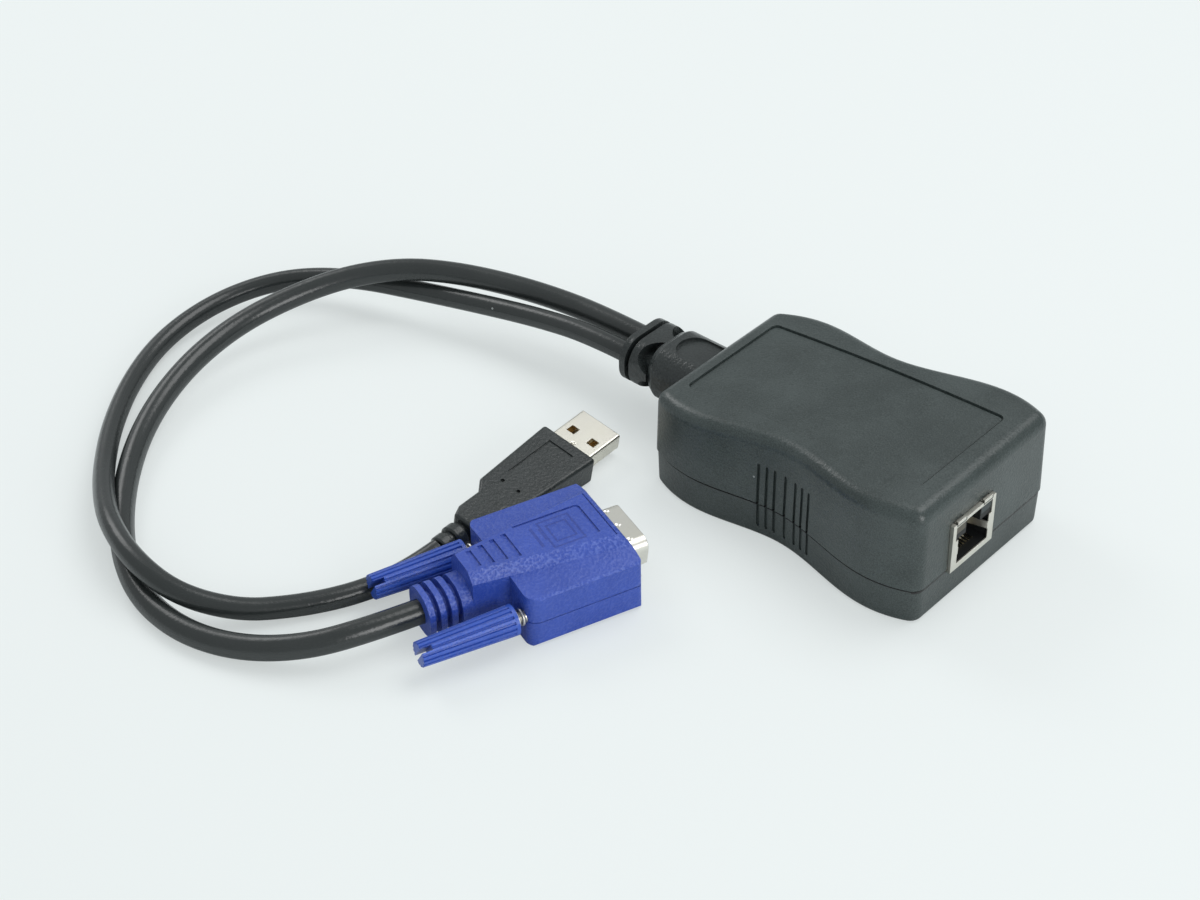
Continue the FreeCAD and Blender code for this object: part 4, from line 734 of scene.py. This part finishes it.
chipSetup = {"dark": (0.018, 0.018, 0.019), "light": (0.030, 0.030, 0.031), "grain": 0.0003, "patch": 0.006,
             "grainDepth": 0.00003, "dimple": 0.0008, "dimpleEdge": 1.25, "dimpleInset": 0.0022,
             "dimpleRise": 3.0, "dimpleColour": (0.010, 0.010, 0.011), "polish": 0.2, "roughness": 0.52}


def chipEpoxy(name, node, setup):
    # A round dimple marks the first corner: distance from a point inset from the top's corner.
    material, tree, shader, position = openMaterial(name)
    lowest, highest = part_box(node)
    inset = setup["dimpleInset"]
    corner = (lowest[0] + inset, lowest[1] + inset, highest[2])
    away = place(tree, "VectorMath", {0: position, 1: corner}, operation="DISTANCE").outputs["Value"]
    dimple = spread(tree, away, setup["dimple"], setup["dimple"] * setup["dimpleEdge"])
    grain = effect(tree, "mouldGrain", {"Position": position, "Grain": setup["grain"],
                                        "Patch": setup["patch"]})
    colour = blendColour(tree, dimple, (*setup["dimpleColour"], 1), shade(tree, grain["Tone"], setup))
    feed(tree, shader.inputs["Base Color"], colour)
    rough = calc(tree, "MULTIPLY_ADD", dimple, setup["polish"], setup["roughness"] - setup["polish"])
    feed(tree, shader.inputs["Roughness"], rough)
    height = calc(tree, "MULTIPLY_ADD", dimple, setup["dimpleRise"], grain["Height"])
    bump(tree, shader, height, setup["grainDepth"])
    return material


capacitorSetup = {"sleeve": (0.020, 0.030, 0.055), "sleeveWorn": (0.035, 0.045, 0.075),
                  "top": (0.62, 0.62, 0.63), "rim": 0.0002, "mottleScale": 900.0, "clouding": (0.35, 0.65),
                  "roughness": 0.34, "roughnessSpread": 0.06, "depth": 0.000015}


def capacitorFinish(name, setup):
    # A mottled sleeve below the rim's height, and bare metal above it.
    material, tree, shader, position = openMaterial(name)
    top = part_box("filter_capacitors")[1][2]
    onTop = calc(tree, "GREATER_THAN", place(tree, "SeparateXYZ", {0: position}).outputs["Z"],
                 top - setup["rim"])
    mottle = spread(tree, noise(tree, position, setup["mottleScale"], 3.0), *setup["clouding"])
    sleeve = blendColour(tree, mottle, (*setup["sleeve"], 1), (*setup["sleeveWorn"], 1))
    feed(tree, shader.inputs["Base Color"], blendColour(tree, onTop, sleeve, (*setup["top"], 1)))
    feed(tree, shader.inputs["Metallic"], onTop)
    rough = calc(tree, "MULTIPLY_ADD", mottle, setup["roughnessSpread"], setup["roughness"])
    feed(tree, shader.inputs["Roughness"], rough)
    bump(tree, shader, mottle, setup["depth"])
    return material


nylonSetup = {**jackPlasticSetup, "dark": (0.62, 0.58, 0.48), "light": (0.72, 0.69, 0.60), "patch": 0.004,
              "roughness": 0.38}
wireSetup = {"pitch": 0.0015, "drawScale": 1000.0, "saturation": 0.75, "value": 0.30, "slowScale": 700.0,
             "roughness": 0.25, "roughnessSpread": 0.2, "depth": 0.00002}


def wireFinish(name, setup):
    # One colour to a wire: white noise drawn from the position across, rounded to the wires' pitch.
    material, tree, shader, position = openMaterial(name)
    across = place(tree, "SeparateXYZ", {0: position}).outputs["Y"]
    number = calc(tree, "SNAP", across, setup["pitch"])
    drawn = place(tree, "TexWhiteNoise", {"W": calc(tree, "MULTIPLY", number, setup["drawScale"])},
                  noise_dimensions="1D").outputs["Value"]
    hue = place(tree, "CombineColor", {"Red": drawn, "Green": setup["saturation"], "Blue": setup["value"]},
                mode="HSV").outputs["Color"]
    feed(tree, shader.inputs["Base Color"], hue)
    slow = noise(tree, position, setup["slowScale"], 2.0)
    rough = calc(tree, "MULTIPLY_ADD", slow, setup["roughnessSpread"], setup["roughness"])
    feed(tree, shader.inputs["Roughness"], rough)
    bump(tree, shader, slow, setup["depth"])
    return material


casePlastic = mouldedPlastic("casePlastic", casePlasticSetup)
basePlastic = mouldedPlastic("basePlastic", basePlasticSetup)
bootRubber = mouldedPlastic("bootRubber", bootRubberSetup)
cableJacket = mouldedPlastic("cableJacket", cableJacketSetup)
gripPlastic = mouldedPlastic("gripPlastic", gripPlasticSetup)
jackPlastic = mouldedPlastic("jackPlastic", jackPlasticSetup)
hoodPlastic = bluePlastic("hoodPlastic", bluePlasticSetup, symbolSetup)
knobPlastic = bluePlastic("knobPlastic", knobPlasticSetup)
nickel = platedMetal("nickelPlate", nickelSetup)
gold = platedMetal("goldPlate", goldSetup)
screwMetal = platedMetal("screwMetal", screwMetalSetup)
finishes = {"upper_shell": casePlastic, "lower_shell": basePlastic, "strain_relief": bootRubber,
            "network_jack_shield": jackShield("tinPlate", tinSetup), "network_jack_body": jackPlastic,
            "network_jack_lights": lightPipe("lightPipes", lightPipeSetup), "network_jack_contacts": gold,
            "video_hood": hoodPlastic, "thumbscrew_near": knobPlastic, "thumbscrew_far": knobPlastic,
            "video_shell": nickel, "video_insert": mouldedPlastic("insertPlastic", insertSetup),
            "video_pins": gold, "usb_grip": gripPlastic, "usb_shell": platedMetal("usbNickel", usbShellSetup),
            "usb_tongue": mouldedPlastic("tonguePlastic", tongueSetup), "usb_contacts": gold,
            "circuit_board": boardFinish("boardMask", boardSetup),
            "main_processor": chipEpoxy("processorEpoxy", "main_processor", chipSetup),
            "video_converter": chipEpoxy("converterEpoxy", "video_converter", chipSetup),
            "network_transformer": chipEpoxy("transformerEpoxy", "network_transformer", chipSetup),
            "crystal": platedMetal("crystalCan", canSetup),
            "filter_capacitors": capacitorFinish("capacitorSleeve", capacitorSetup),
            "video_header": mouldedPlastic("headerNylon", nylonSetup),
            "usb_header": mouldedPlastic("plugNylon", nylonSetup),
            "video_leads": wireFinish("wireColours", wireSetup),
            "usb_leads": wireFinish("dataWireColours", wireSetup)}
for name, material in finishes.items():
    nodes[name].data.materials.clear()
    nodes[name].data.materials.append(material)
for cable in (videoCable, usbCable):
    cable.data.materials.append(cableJacket)
for screw in (nearJackscrew, farJackscrew):
    screw.data.materials.append(screwMetal)
screwZinc = platedMetal("screwZinc", screwZincSetup)
for screw in caseScrews:
    screw.data.materials.append(screwZinc)
print("materials are in place")

bpy.context.view_layer.update()
